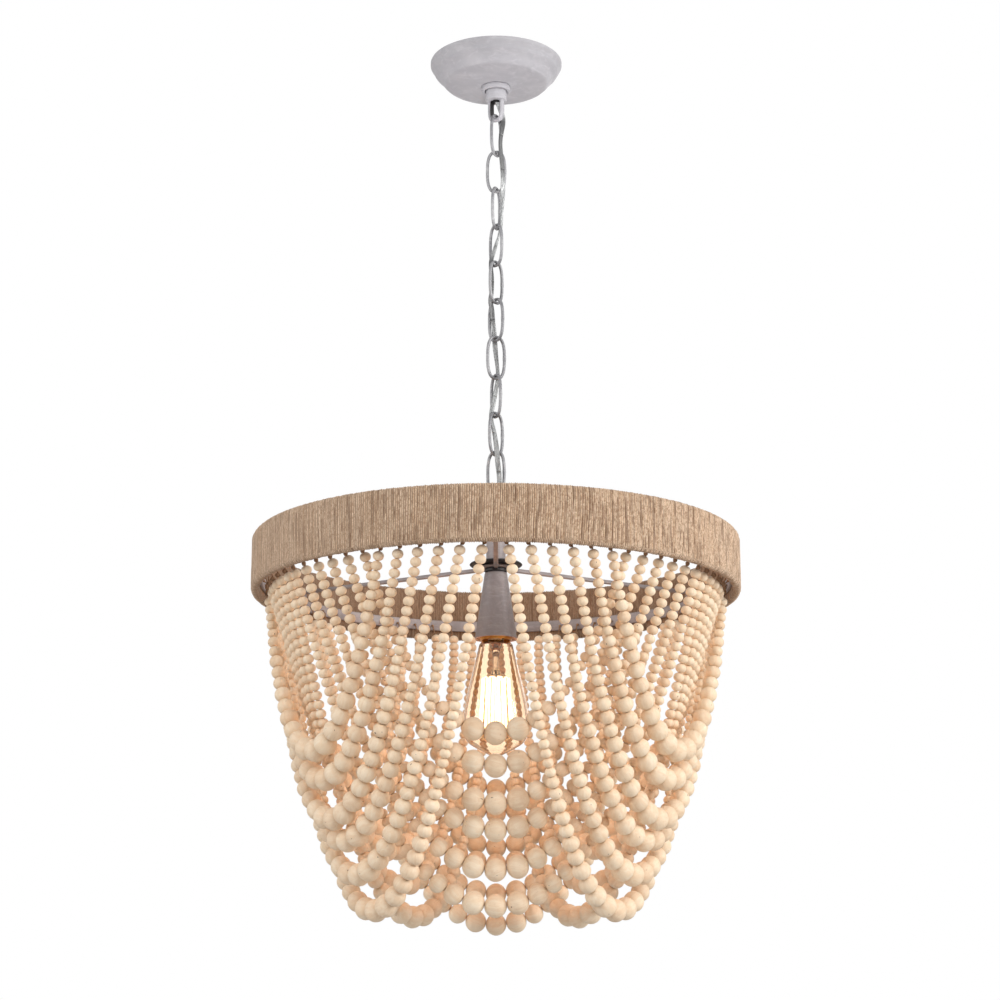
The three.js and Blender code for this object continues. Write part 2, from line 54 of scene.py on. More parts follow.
# Places that the model gives, in millimetres below the ceiling
CEILING_BAR = -62.5
FIRST_LINK_TOP = -58.3
LINK_PITCH = 40.2
LINK_LENGTH = 43.75
LINK_REACH = 9.0
LINK_WIRE = 1.6
LINK_ROUND = 0.74
LINK_YAWS = [58, -5, 66, -50, 48, -42, 20, -60, 45, -25]
LOOP_BAR_RADIUS = 2.25
STEM_BORE = 3.2
FIXTURE_BAR = -459.65
FIXTURE_LOOP_YAW = 65
CEILING_LOOP_YAW = -30
CEILING_EYE_ROUND = 0.45
RING_TOP = -513.8
RING_INNER = 232.0
RING_OUTER = 240.0
WRAP_HEIGHT = 54.0
HUB_HOLE = 5.1
HUB_SEAT = -534.2
WASHER_TOP = -534.5
HUB_TOP = -537.4
HUB_BOTTOM = -539.8
LOCK_RING_TOP = -540.1
CUP_TOP = -543.8
CUP_MOUTH = -610.5
STEM_END = -553.8
HOLDER_TOP = -548.1
BARREL_TOP = -584.1
BARREL_MOUTH = -612.0
CAP_BOTTOM = -609.8
GLASS_TOP = -610.1
BULB_LENGTH = 114.1
HOOP_TOP = -547.8
HOOP_BOTTOM = -558.8
HOOP_INNER = 228.9
HOOP_OUTER = 231.7
SWAG_TOP = -559.1
SWAG_END_RADIUS = 224.3


def srgb(red, green, blue):
    """A colour of three 0 to 255 values as Blender's linear one."""
    def linear(value):
        share = value / 255
        return share / 12.92 if share <= 0.04045 else ((share + 0.055) / 1.055) ** 2.4
    return (linear(red), linear(green), linear(blue), 1.0)


# Materials

class Nodes:
    """A material and a short way to add nodes to it."""

    def __init__(self, name, roughness=0.5, metallic=0.0):
        self.material = bpy.data.materials.new(name)
        self.material.use_nodes = True
        self.tree = self.material.node_tree
        self.shader = self.tree.nodes["Principled BSDF"]
        self.output = self.tree.nodes["Material Output"]
        self.shader.inputs["Roughness"].default_value = roughness
        self.shader.inputs["Metallic"].default_value = metallic

    def add(self, kind, inputs=None, **settings):
        node = self.tree.nodes.new(kind)
        for key, value in settings.items():
            setattr(node, key, value)
        for key, value in (inputs or {}).items():
            self.feed(node.inputs[key], value)
        return node

    def feed(self, socket, value):
        if isinstance(value, bpy.types.NodeSocket):
            self.tree.links.new(value, socket)
        else:
            socket.default_value = value

    def place(self):
        return self.add("ShaderNodeTexCoord").outputs["Object"]

    def attribute(self, name, output="Fac"):
        return self.add("ShaderNodeAttribute", attribute_name=name).outputs[output]

    def scaled(self, vector, scale):
        return self.add("ShaderNodeMapping", {"Vector": vector, "Scale": scale}).outputs["Vector"]

    def noise(self, vector, scale, detail=3.0, roughness=0.5, distortion=0.0):
        return self.add("ShaderNodeTexNoise", {
            "Vector": vector, "Scale": scale, "Detail": detail,
            "Roughness": roughness, "Distortion": distortion,
        }).outputs["Fac"]

    def spread(self, value, low, high, to_low=0.0, to_high=1.0):
        return self.add("ShaderNodeMapRange", {
            "Value": value, "From Min": low, "From Max": high, "To Min": to_low, "To Max": to_high,
        }).outputs["Result"]

    def maths(self, operation, first, second):
        node = self.add("ShaderNodeMath", {0: first, 1: second}, operation=operation)
        return node.outputs[0]

    def mix(self, share, first, second):
        node = self.add("ShaderNodeMix", {0: share, 6: first, 7: second}, data_type="RGBA")
        return node.outputs[2]

    def bump(self, height, distance, strength):
        node = self.add(
            "ShaderNodeBump", {"Height": height, "Distance": distance, "Strength": strength})
        self.feed(self.shader.inputs["Normal"], node.outputs["Normal"])

    def finish(self, **inputs):
        for key, value in inputs.items():
            self.feed(self.shader.inputs[key.replace("_", " ")], value)
        return self.material


def wood_material():
    """Bare turned wood: each bead has its own tone, with fine grain lines and short dark pores."""
    make = Nodes("bare_wood", roughness=0.62)
    grain = make.attribute("grain", "Vector")
    tone = make.attribute("tone")
    lines = make.noise(make.scaled(grain, (900, 900, 70)), 1.0, 4.0, 0.6, 0.4)
    rings = make.noise(make.scaled(grain, (260, 260, 18)), 1.0, 2.0, 0.5, 0.8)
    pores = make.noise(make.scaled(grain, (2600, 2600, 240)), 1.0, 1.0, 0.5)
    pore_mask = make.spread(pores, 0.66, 0.74)
    knots = make.noise(make.scaled(grain, (330, 330, 210)), 1.0, 1.0, 0.4)
    pale = make.mix(tone, srgb(240, 215, 186), srgb(249, 231, 206))
    warm = make.mix(tone, srgb(231, 200, 167), srgb(243, 219, 188))
    body = make.mix(make.spread(rings, 0.36, 0.66), warm, pale)
    lined = make.mix(make.spread(lines, 0.52, 0.76, 0.0, 0.12), body, srgb(204, 164, 132))
    pored = make.mix(make.maths("MULTIPLY", pore_mask, 0.26), lined, srgb(160, 118, 90))
    colour = make.mix(make.spread(knots, 0.775, 0.80, 0.0, 0.75), pored, srgb(96, 70, 54))
    height = make.maths("SUBTRACT", make.maths("MULTIPLY", lines, 0.4), pore_mask)
    make.bump(height, 0.00012, 0.6)
    return make.finish(Base_Color=colour, Roughness=make.spread(rings, 0.3, 0.7, 0.56, 0.68))


def twine_material():
    """Jute: each turn has its own tone, with fibres along it; painted shade darkens the grooves
    between the turns and the band's inner face.
    """
    make = Nodes("jute_twine", roughness=0.92)
    fibre = make.attribute("fibre", "Vector")
    tone = make.attribute("tone")
    groove = make.attribute("groove")
    strands = make.noise(make.scaled(fibre, (1500, 90, 1.0)), 1.0, 4.0, 0.65, 0.6)
    patches = make.noise(make.scaled(fibre, (260, 60, 1.0)), 1.0, 3.0, 0.6, 0.3)
    lay = make.noise(make.scaled(fibre, (800, 420, 1.0)), 1.0, 2.0, 0.5, 1.2)
    fuzz = make.noise(make.scaled(fibre, (430, 260, 0.0)), 1.0, 3.0, 0.75, 0.6)
    tufts = make.noise(make.scaled(fibre, (620, 340, 0.0)), 1.0, 2.0, 0.7, 0.6)
    gaps = make.noise(make.scaled(fibre, (1.0, 34, 1.0)), 1.0, 2.0, 0.6)
    runs = make.noise(make.scaled(fibre, (95, 8, 0.0)), 1.0, 2.0, 0.5)
    base = make.mix(tone, srgb(213, 179, 147), srgb(239, 212, 185))
    patched = make.mix(make.spread(patches, 0.42, 0.72, 0.0, 0.45), base, srgb(181, 143, 110))
    haired = make.mix(make.spread(strands, 0.55, 0.75, 0.0, 0.6), patched, srgb(242, 220, 195))
    tufted = make.mix(make.spread(tufts, 0.50, 0.60, 0.0, 0.55), haired, srgb(240, 217, 190))
    fuzzed = make.mix(make.spread(fuzz, 0.42, 0.52, 0.72, 0.0), tufted, srgb(163, 126, 97))
    shaded = make.mix(make.spread(lay, 0.30, 0.46, 0.35, 0.0), fuzzed, srgb(148, 113, 84))
    # Painted shade: the grooves between the turns are darkened, the more where the gaps open.
    open_gap = make.maths(
        "MULTIPLY", make.spread(gaps, 0.50, 0.60, 0.34, 1.0),
        make.spread(runs, 0.35, 0.60, 0.55, 1.15))
    grooved = make.mix(make.maths("MULTIPLY", groove, open_gap), shaded, srgb(92, 64, 42))
    # More painted shade: short dark dashes across the turns widen the groove shade.
    dashes = make.noise(make.scaled(fibre, (160, 26, 1.9)), 1.0, 2.0, 0.6)
    dark = make.maths(
        "MULTIPLY", make.spread(dashes, 0.53, 0.60), make.spread(runs, 0.35, 0.60, 0.30, 0.72))
    dashed = make.mix(dark, grooved, srgb(112, 80, 54))
    # Painted shade: the band's inner face is darkened.
    colour = make.mix(make.attribute("inner"), dashed, srgb(104, 74, 50))
    height = make.maths("ADD", strands, make.maths("MULTIPLY", lay, 0.8))
    make.bump(height, 0.0005, 0.8)
    return make.finish(Base_Color=colour, Sheen_Weight=0.45, Sheen_Roughness=0.5,
                       Sheen_Tint=(1.0, 0.90, 0.80, 1.0))


def string_material():
    """Thin waxed string between the beads."""
    make = Nodes("bead_string", roughness=0.85)
    twist = make.noise(make.scaled(make.place(), (1.0, 1.0, 1.6)), 1600.0, 2.0)
    colour = make.mix(make.spread(twist, 0.35, 0.65), srgb(116, 84, 60), srgb(168, 132, 100))
    make.bump(twist, 0.0002, 0.6)
    return make.finish(Base_Color=colour)


def painted_material(name, base, shade, light, metallic, roughness, rub=0.5):
    """Painted steel, rubbed pale in soft patches, with small worn specks."""
    make = Nodes(name, roughness=roughness, metallic=metallic)
    place = make.place()
    clouds = make.noise(place, 34.0, 5.0, 0.62, 0.8)
    smears = make.noise(make.scaled(place, (1.0, 1.0, 3.2)), 75.0, 4.0, 0.6, 1.2)
    specks = make.noise(place, 620.0, 2.0, 0.5)
    grain = make.noise(place, 1500.0, 2.0, 0.6)
    patched = make.mix(make.spread(clouds, 0.40, 0.64), shade, base)
    rubbed = make.mix(make.spread(smears, 0.50, 0.74, 0.0, rub), patched, light)
    worn = make.mix(make.spread(specks, 0.68, 0.73, 0.0, 0.55), rubbed, shade)
    make.bump(make.maths("ADD", grain, make.maths("MULTIPLY", clouds, 2.0)), 0.00006, 0.6)
    dulled = make.spread(clouds, 0.3, 0.7, roughness - 0.07, roughness + 0.10)
    return make.finish(Base_Color=worn, Roughness=dulled)


def metal_material(name, base, shade, roughness, metallic):
    """Bare or plated metal with fine scratches and dulled patches."""
    make = Nodes(name, roughness=roughness, metallic=metallic)
    place = make.place()
    dull = make.noise(place, 90.0, 4.0, 0.6, 0.6)
    scratches = make.noise(make.scaled(place, (1.0, 1.0, 9.0)), 220.0, 3.0, 0.7, 0.4)
    colour = make.mix(make.spread(dull, 0.38, 0.66), shade, base)
    make.bump(scratches, 0.00004, 0.5)
    worn = make.spread(scratches, 0.3, 0.7, roughness - 0.08, roughness + 0.12)
    return make.finish(Base_Color=colour, Roughness=worn)


def cord_material():
    """Flat cord of two conductors: a smooth clear jacket over pale grey wires, with painted shade
    darkening it in stretches.
    """
    make = Nodes("cord_jacket", roughness=0.34)
    place = make.place()
    wires = make.noise(make.scaled(place, (1.0, 1.0, 0.35)), 900.0, 3.0, 0.6, 0.5)
    soil = make.noise(place, 60.0, 3.0, 0.5)
    colour = make.mix(make.spread(wires, 0.38, 0.62), srgb(128, 130, 131), srgb(190, 193, 194))
    # Painted shade: stretches of the cord darkened by height down the chain.
    shaded_cord = make.mix(make.attribute("core"), colour, srgb(62, 62, 64))
    soiled = make.mix(make.spread(soil, 0.45, 0.75, 0.0, 0.35), shaded_cord, srgb(112, 112, 112))
    make.bump(wires, 0.00005, 0.4)
    return make.finish(Base_Color=soiled, Coat_Weight=0.4, Coat_Roughness=0.15)


def clear_material(name, tint, roughness, see_through):
    """Glass. Shadow rays pass straight through, tinted, so that the light inside shines out."""
    make = Nodes(name, roughness=roughness)
    make.finish(Base_Color=tint, IOR=1.46, Transmission_Weight=1.0)
    seeds = make.noise(make.place(), 55.0, 2.0, 0.5)
    make.bump(seeds, 0.00010, 0.3)
    passing = make.add("ShaderNodeBsdfTransparent", {"Color": see_through})
    rays = make.add("ShaderNodeLightPath")
    both = make.add("ShaderNodeMixShader")
    make.feed(both.inputs[0], rays.outputs["Is Shadow Ray"])
    make.feed(both.inputs[1], make.shader.outputs[0])
    make.feed(both.inputs[2], passing.outputs[0])
    make.feed(make.output.inputs["Surface"], both.outputs[0])
    return make.material


def glow_material():
    """The hot filament, a little brighter and dimmer along its length."""
    make = Nodes("hot_filament", roughness=0.5)
    heat = make.noise(make.place(), 120.0, 2.0, 0.5)
    colour = make.mix(make.spread(heat, 0.3, 0.7), srgb(255, 226, 168), srgb(255, 244, 214))
    return make.finish(Base_Color=srgb(120, 90, 60), Emission_Color=colour, Emission_Strength=5.0)


WOOD = wood_material()
TWINE = twine_material()
STRING = string_material()
WASHED = painted_material(
    "washed_grey_paint", srgb(177, 176, 181), srgb(167, 166, 172), srgb(196, 195, 200), 0.0, 0.56)
GREY = painted_material(
    "grey_paint", srgb(158, 149, 149), srgb(136, 127, 127), srgb(188, 180, 180), 0.1, 0.48, 0.35)
BLACK = painted_material(
    "black_paint", srgb(34, 31, 33), srgb(22, 20, 22), srgb(72, 68, 70), 0.1, 0.42, 0.30)
CHAIN = painted_material(
    "chain_paint", srgb(158, 158, 161), srgb(126, 126, 130), srgb(192, 192, 194), 0.25, 0.42, 0.45)
ZINC = metal_material("zinc_plate", srgb(186, 190, 192), srgb(150, 154, 158), 0.36, 0.9)
BRASS = metal_material("brass_shell", srgb(214, 164, 92), srgb(176, 122, 62), 0.30, 0.95)
CORD = cord_material()
GLASS = clear_material("amber_glass", (0.78, 0.655, 0.53, 1.0), 0.0, (1.0, 0.92, 0.82, 1.0))
STEM_GLASS = clear_material("stem_glass", (1.0, 0.93, 0.82, 1.0), 0.02, (1.0, 0.95, 0.86, 1.0))
GLOW = glow_material()
# Painted shadow: the black of the ceiling loop's bore mouth and hole.
HOLE_SHADOW_PAINT = painted_material(
    "painted_hole_shadow", srgb(18, 16, 16), srgb(10, 9, 9), srgb(36, 32, 30), 0.0, 0.45, 0.2)


# Mesh helpers

class Shells:
    """Closed shells gathered into one mesh, with values for each point that a material reads."""

    def __init__(self):
        self.points = []
        self.faces = []
        self.values = {}
        self.count = 0

    def add(self, points, faces, **values):
        points = np.asarray(points, float)
        if volume(points, faces) < 0:
            faces = [face[::-1] for face in faces]
        self.points.append(points)
        self.faces.extend([tuple(index + self.count for index in face) for face in faces])
        for key, value in values.items():
            self.values.setdefault(key, []).append(np.asarray(value, float))
        self.count += len(points)
        return self


def volume(points, faces):
    """Six times the volume inside the faces, below zero where they face inwards."""
    total = 0.0
    by_size = {}
    for face in faces:
        by_size.setdefault(len(face), []).append(face)
    middle = points.mean(axis=0)
    for size, group in by_size.items():
        corners = points[np.array(group)] - middle
        for index in range(1, size - 1):
            total += np.einsum(
                "ij,ij->i", corners[:, 0], np.cross(corners[:, index], corners[:, index + 1])).sum()
    return total


def make_piece(name, shells, material, body=None, stands_for=(), sharp=None):
    """One smooth mesh object from gathered shells, in metres, riding on its body."""
    points = np.concatenate(shells.points) * MM
    mesh = bpy.data.meshes.new(name)
    mesh.from_pydata(points.tolist(), [], shells.faces)
    for key, parts in shells.values.items():
        value = np.concatenate(parts).astype(np.float32)
        kind, field = ("FLOAT", "value") if value.ndim == 1 else ("FLOAT_VECTOR", "vector")
        mesh.attributes.new(key, kind, "POINT").data.foreach_set(field, value.ravel())
    mesh.shade_smooth()
    if sharp:
        mesh.set_sharp_from_angle(angle=math.radians(sharp))
    mesh.validate()
    piece = bpy.data.objects.new(name, mesh)
    bpy.context.scene.collection.objects.link(piece)
    piece.data.materials.append(material)
    if body:
        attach(piece, body)
    if stands_for:
        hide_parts(*stands_for)
    return piece


def lathe(profile, sides):
    """A closed profile of (radius, height) pairs, turned about Z. Points on the axis become one."""
    angles = np.arange(sides) * FULL_TURN / sides
    circle = np.column_stack([np.cos(angles), np.sin(angles)])
    points = []
    rows = []
    for radius, height in profile:
        start = len(points)
        if radius < 1e-6:
            points.append((0.0, 0.0, height))
            rows.append([start])
        else:
            points.extend((radius * x, radius * y, height) for x, y in circle)
            rows.append(list(range(start, start + sides)))
    faces = []
    for index, row in enumerate(rows):
        other = rows[(index + 1) % len(rows)]
        if len(row) == 1 and len(other) == 1:
            continue
        for side in range(sides):
            after = (side + 1) % sides
            corners = [row[side % len(row)], row[after % len(row)],
                       other[after % len(other)], other[side % len(other)]]
            faces.append(tuple(dict.fromkeys(corners)))
    return np.array(points), faces


def rounded(profile, size, steps):
    """The profile with each corner off the axis rounded over about this size."""
    count = len(profile)
    result = []
    for index, corner in enumerate(profile):
        corner = np.array(corner, float)
        before = np.array(profile[index - 1], float)
        after = np.array(profile[(index + 1) % count], float)
        back, ahead = before - corner, after - corner
        if corner[0] < 1e-6:
            result.append(tuple(corner))
            continue
        cut = min(size, 0.42 * np.linalg.norm(back), 0.42 * np.linalg.norm(ahead))
        start = corner + back / np.linalg.norm(back) * cut
        end = corner + ahead / np.linalg.norm(ahead) * cut
        for step in range(steps + 1):
            share = step / steps
            spot = (1 - share) ** 2 * start + 2 * share * (1 - share) * corner + share ** 2 * end
            result.append((max(spot[0], 0.0), spot[1]))
    return result


def smooth_line(points, steps):
    """A smooth curve through points, with this many steps between each two."""
    points = np.asarray(points, float)
    padded = np.vstack([2 * points[0] - points[1], points, 2 * points[-1] - points[-2]])
    result = []
    for index in range(len(points) - 1):
        a, b, c, d = padded[index:index + 4]
        for step in range(steps):
            t = step / steps
            result.append(0.5 * (2 * b + (c - a) * t + (2 * a - 5 * b + 4 * c - d) * t * t
                                 + (3 * b - a - 3 * c + d) * t ** 3))
    result.append(points[-1])
    return np.array(result)


def frames_along(path, closed, first):
    """Two cross directions at each point of a path, turned as little as can be between points."""
    if closed:
        along = np.roll(path, -1, axis=0) - np.roll(path, 1, axis=0)
    else:
        along = np.gradient(path, axis=0)
    along = along / np.linalg.norm(along, axis=1)[:, None]
    start = np.array(first if first is not None else (1.0, 0.0, 0.0), float)
    if abs(start @ along[0]) > 0.9:
        start = np.array([0.0, 1.0, 0.0])
    across = [start - along[0] * (start @ along[0])]
    across[0] /= np.linalg.norm(across[0])
    for index in range(1, len(path)):
        turned = across[-1] - along[index] * (across[-1] @ along[index])
        across.append(turned / np.linalg.norm(turned))
    across = np.array(across)
    return across, np.cross(along, across)


def skin(count, sides, closed=False):
    """The faces between this many rings of points, with a cap at each end unless they close."""
    faces = []
    for index in range(count if closed else count - 1):
        here, there = index * sides, ((index + 1) % count) * sides
        for side in range(sides):
            after = (side + 1) % sides
            faces.append((here + side, here + after, there + after, there + side))
    if not closed:
        faces.append(tuple(range(sides))[::-1])
        faces.append(tuple(range((count - 1) * sides, count * sides)))
    return faces


def tube(path, radius, sides=10, closed=False, section=None, first=None):
    """A tube along a path, of one radius or one for each point, or of a section's outline."""
    path = np.asarray(path, float)
    across, third = frames_along(path, closed, first)
    radii = np.broadcast_to(np.asarray(radius, float), (len(path),))
    if section is None:
        angles = np.arange(sides) * FULL_TURN / sides
        section = np.column_stack([np.cos(angles), np.sin(angles)])
    rings = (path[:, None]
             + radii[:, None, None] * (section[None, :, 0, None] * across[:, None]
                                       + section[None, :, 1, None] * third[:, None]))
    return rings.reshape(-1, 3), skin(len(path), len(section), closed)


def side_normals(curve):
    """The direction to the right of a flat curve at each of its points."""
    ahead = np.gradient(curve, axis=0)
    normal = np.column_stack([ahead[:, 1], -ahead[:, 0]])
    return normal / np.linalg.norm(normal, axis=1)[:, None]


def hollow(curve, inside):
    """The closed profile of a thin wall between two curves that run side by side."""
    return [tuple(p) for p in curve] + [(max(p[0], 0), p[1]) for p in inside[::-1]]


def turned_by(points, degrees):
    """Points turned about Z."""
    angle = math.radians(degrees)
    cos, sin = math.cos(angle), math.sin(angle)
    return points @ np.array([[cos, sin, 0], [-sin, cos, 0], [0, 0, 1]])


def ball(centre, radius, sides=10, squeeze=1.0):
    """A small round lump."""
    profile = [(radius * math.cos(a), radius * squeeze * math.sin(a))
               for a in np.linspace(-math.pi / 2, math.pi / 2, sides // 2 + 1)]
    profile[0] = (0.0, -radius * squeeze)
    profile[-1] = (0.0, radius * squeeze)
    points, faces = lathe(profile, sides)
    return points + np.asarray(centre, float), faces


# Camera, light and floor

WORLD_STRENGTH = 0.34
FLOOR_HEIGHT = -1.9
FLOOR_REACH = 9.0
FLOOR_SIDES = 96
FLOOR_GLOW = 0.48


def add_light(name, kind, place, power, colour, aim=None, hidden=False, **settings):
    """A lamp. A hidden one's own ball is left out of the picture, the gloss and the glass."""
    data = bpy.data.lights.new(name, kind)
    data.energy = power
    data.color = colour
    for key, value in settings.items():
        setattr(data, key, value)
    light = bpy.data.objects.new(name, data)
    light.location = place
    if aim:
        way = Vector(aim) - light.location
        light.rotation_euler = way.to_track_quat("-Z", "Y").to_euler()
    if hidden:
        light.visible_camera = light.visible_glossy = light.visible_transmission = False
    bpy.context.scene.collection.objects.link(light)
    return light


def build_camera(scene):
    """The camera fitted to the photograph."""
    camera_data = bpy.data.cameras.new("photo_camera")
    camera_data.sensor_width = 36
    camera_data.lens = 83.11
    camera = bpy.data.objects.new("photo_camera", camera_data)
    camera.location = (0.0040, -2.226, -1.035)
    camera.rotation_euler = (math.radians(90 + 14.25), 0, 0)
    scene.collection.objects.link(camera)
    scene.camera = camera


def build_world(scene):
    """Soft light from all round, and plain white where the camera, gloss or glass looks past."""
    world = bpy.data.worlds.new("studio")
    world.use_nodes = True
    scene.world = world
    tree = world.node_tree
    background = tree.nodes["Background"]
    background.inputs["Strength"].default_value = WORLD_STRENGTH
    background.inputs["Color"].default_value = (1.0, 0.985, 0.97, 1.0)
    white = tree.nodes.new("ShaderNodeBackground")
    white.inputs["Color"].default_value = (1.0, 1.0, 1.0, 1.0)
    rays = tree.nodes.new("ShaderNodeLightPath")
    seen = tree.nodes.new("ShaderNodeMath")
    through = tree.nodes.new("ShaderNodeMath")
    seen.operation = through.operation = "MAXIMUM"
    mix = tree.nodes.new("ShaderNodeMixShader")
    for source, socket in (
        (rays.outputs["Is Camera Ray"], seen.inputs[0]),
        (rays.outputs["Is Transmission Ray"], seen.inputs[1]),
        (seen.outputs[0], through.inputs[0]),
        (rays.outputs["Is Glossy Ray"], through.inputs[1]),
        (through.outputs[0], mix.inputs[0]),
        (background.outputs[0], mix.inputs[1]),
        (white.outputs[0], mix.inputs[2]),
        (mix.outputs[0], tree.nodes["World Output"].inputs["Surface"]),
    ):
        tree.links.new(source, socket)


def build_lights():
    """Four round lamps about the object, and a narrow one that lifts the canopy's underside."""
    for name, place, size, power, colour in (
        ("key_light", (2.6, -1.3, 0.1), 1.5, 60, (1.0, 0.985, 0.965)),
        ("fill_light", (-2.5, -1.2, 0.1), 1.7, 34, (1.0, 0.985, 0.97)),
        ("front_light", (0.5, -3.0, 0.2), 1.4, 23, (1.0, 0.985, 0.96)),
        ("back_light", (0.4, 2.4, 0.3), 2.0, 13, (1.0, 0.98, 0.97)),
    ):
        add_light(name, "AREA", place, power, colour, (0, 0, -0.6), shape="DISK", size=size)
    add_light("canopy_light", "SPOT", (0.03, -0.2, -0.48), 6.0, (1.0, 0.985, 0.99),
              (0, 0.005, -0.03), hidden=True, spot_size=math.radians(21), spot_blend=0.5,
              shadow_soft_size=0.03)


def build_floor(scene):
    """A wide pale floor that keeps the object's shadow."""
    angles = np.linspace(0, FULL_TURN, FLOOR_SIDES + 1)[:-1]
    edge = [(FLOOR_REACH * math.cos(a), FLOOR_REACH * math.sin(a), 0) for a in angles]
    mesh = bpy.data.meshes.new("floor")
    mesh.from_pydata(edge, [], [tuple(range(FLOOR_SIDES))])
    floor = bpy.data.objects.new("floor", mesh)
    floor.location = (0, 0, FLOOR_HEIGHT)
    scene.collection.objects.link(floor)
    make = Nodes("pale_floor", roughness=0.7)
    cloud = make.noise(make.place(), 1.3, 2.0)
    seen = make.add("ShaderNodeLightPath").outputs["Is Camera Ray"]
    tone = make.mix(make.spread(cloud, 0.3, 0.7), srgb(200, 199, 198), srgb(206, 205, 204))
    mesh.materials.append(make.finish(
        Base_Color=tone, Emission_Color=(1.0, 0.99, 0.98, 1.0),
        Emission_Strength=make.maths("MULTIPLY", seen, FLOOR_GLOW)))


def build_stage():
    """All that stands round the object: camera, world, lamps and floor."""
    scene = bpy.context.scene
    scene.view_settings.view_transform = "Standard"
    build_camera(scene)
    build_world(scene)
    build_lights()
    build_floor(scene)


build_stage()


# Bead swags

GROUPS = 6
SWAGS = 6
STRING_RADIUS = 0.7
SMALL_BEAD = 5.2
LARGE_BEAD = 10.9
SMALL_SQUATNESS = 0.837
LARGE_SQUATNESS = 0.932
BEAD_STEP = 0.95
CHAMFER = 0.45
KNOT_DROP = 8.6
FIRST_HALF_ANGLE = 32.5
HALF_ANGLE_STEP = 5
SWAG_LEAD = 3
CURVE = 1.5
OUTER_DROPS = [171.4, 197.6, 233.5, 252.6, 283.5, 315.4]
INNER_DROPS = [165.1, 192.9, 225.0, 247.9, 282.4, 313.6]
OUTER_BULGES = [3.3, 3.3, 6.6, 6.6, 9.35, 7.15]
INNER_BULGE = -26.95
OUTER_REACH = 185
INNER_REACHES = [75, 87, 99, 111, 123, 135]


def strand_line(group, index):
    """The line that a swag hangs along, as a chain does, from one end on the hoop to the other."""
    half_angle = math.radians(FIRST_HALF_ANGLE + HALF_ANGLE_STEP * index)
    width = SWAG_END_RADIUS * math.sin(half_angle)
    stand = SWAG_END_RADIUS * math.cos(half_angle)
    drop = (OUTER_DROPS if group % 2 else INNER_DROPS)[index]
    bulge = OUTER_BULGES[index] if group % 2 else INNER_BULGE
    angle = np.linspace(-math.pi / 2, math.pi / 2, 961)
    rise = (np.cosh(CURVE * np.sin(angle)) - 1) / (math.cosh(CURVE) - 1)
    line = np.column_stack([
        width * np.sin(angle),
        -stand - bulge * np.cos(angle),
        SWAG_TOP - SWAG_LEAD - drop * (1 - rise),
    ])
    top = line[[0, -1]] + np.array([0, 0, SWAG_LEAD])
    return np.vstack([top[:1], line, top[1:]])


def bead_sizes(distance, group, index):
    """Radius across and half length of a bead at that distance along the string from its middle."""
    large, small = (15, OUTER_REACH) if group % 2 else (18, INNER_REACHES[index])
    share = min(max((distance - large) / (small - large), 0), 1)
    radius = SMALL_BEAD + round((LARGE_BEAD - SMALL_BEAD) * (1 - share) / BEAD_STEP) * BEAD_STEP
    size = (radius - SMALL_BEAD) / (LARGE_BEAD - SMALL_BEAD)
    return radius, radius * (SMALL_SQUATNESS + size * (LARGE_SQUATNESS - SMALL_SQUATNESS))


def bead_profile(radius, half, hole, arcs):
    """One bead: a turned ball with a chamfered hole right through it."""
    edge = math.acos(hole * 1.35 / radius)
    height = half / math.sin(edge)
    outer = [(radius * math.cos(a), height * math.sin(a)) for a in np.linspace(-edge, edge, arcs)]
    return outer + [(hole, half - CHAMFER), (hole, -half + CHAMFER)]


def bead_row(half_line, group, index):
    """The beads of a swag, tight on the string: place from the middle, radius, half length."""
    beads = [(0.0, *bead_sizes(0, group, index))]
    place, radius, half = beads[0]
    while True:
        guess = bead_sizes(place + 2 * half, group, index)
        after = place + half + guess[1]
        if after + guess[1] > half_line:
            break
        place, (radius, half) = after, guess
        beads.append((place, radius, half))
    stretch = half_line / (beads[-1][0] + beads[-1][2])
    row = [(place * stretch, radius, half * stretch) for place, radius, half in beads]
    return [(-place, radius, half) for place, radius, half in row[:0:-1]] + row


def build_strand(name, group, index, rng):
    """The beads of one swag, each a little off in size, lean, turn and tone."""
    line = strand_line(group, index)
    steps = np.linalg.norm(np.diff(line, axis=0), axis=1)
    lengths = np.concatenate([[0], np.cumsum(steps)])
    middle = lengths[-1] / 2

    def spot_at(distance):
        return np.array([np.interp(distance, lengths, line[:, axis]) for axis in range(3)])

    def three(low, high):
        return np.array([rng.uniform(low, high) for _ in range(3)])

    shells = Shells()
    for place, radius, half in bead_row(middle - KNOT_DROP, group, index):
        hole, arcs, sides = (1.5, 12, 26) if radius > 8 else (1.05, 9, 18)
        size = radius * (1 + rng.uniform(-0.018, 0.018))
        local, faces = lathe(bead_profile(size, half * 0.995, hole, arcs), sides)
        spot = spot_at(middle + place)
        along = spot_at(middle + place + half * 0.7) - spot_at(middle + place - half * 0.7)
        along = along + three(-1, 1) * 0.035 * half
        along /= np.linalg.norm(along)
        side = np.cross(along, (0.3, 1.0, 0.1))
        side /= np.linalg.norm(side)
        third = np.cross(along, side)
        spin = rng.uniform(0, FULL_TURN)
        first = side * math.cos(spin) + third * math.sin(spin)
        second = np.cross(along, first)
        placed = spot + local[:, :1] * first + local[:, 1:2] * second + local[:, 2:3] * along
        tilt = rng.uniform(-0.5, 0.5)
        grain = local.copy()
        grain[:, 0] = local[:, 0] * math.cos(tilt) - local[:, 2] * math.sin(tilt)
        grain[:, 2] = local[:, 0] * math.sin(tilt) + local[:, 2] * math.cos(tilt)
        grain = grain * MM + three(0, 3)
        tone = min(max(rng.gauss(0.58, 0.24), 0.0), 1.0)
        shells.add(placed, faces, grain=grain, tone=np.full(len(local), tone))
    shells.points = [turned_by(part, group * 60) for part in shells.points]
    make_piece(name, shells, WOOD, "fixture", [f"bead_swag_{group + 1}_{index + 1}"])


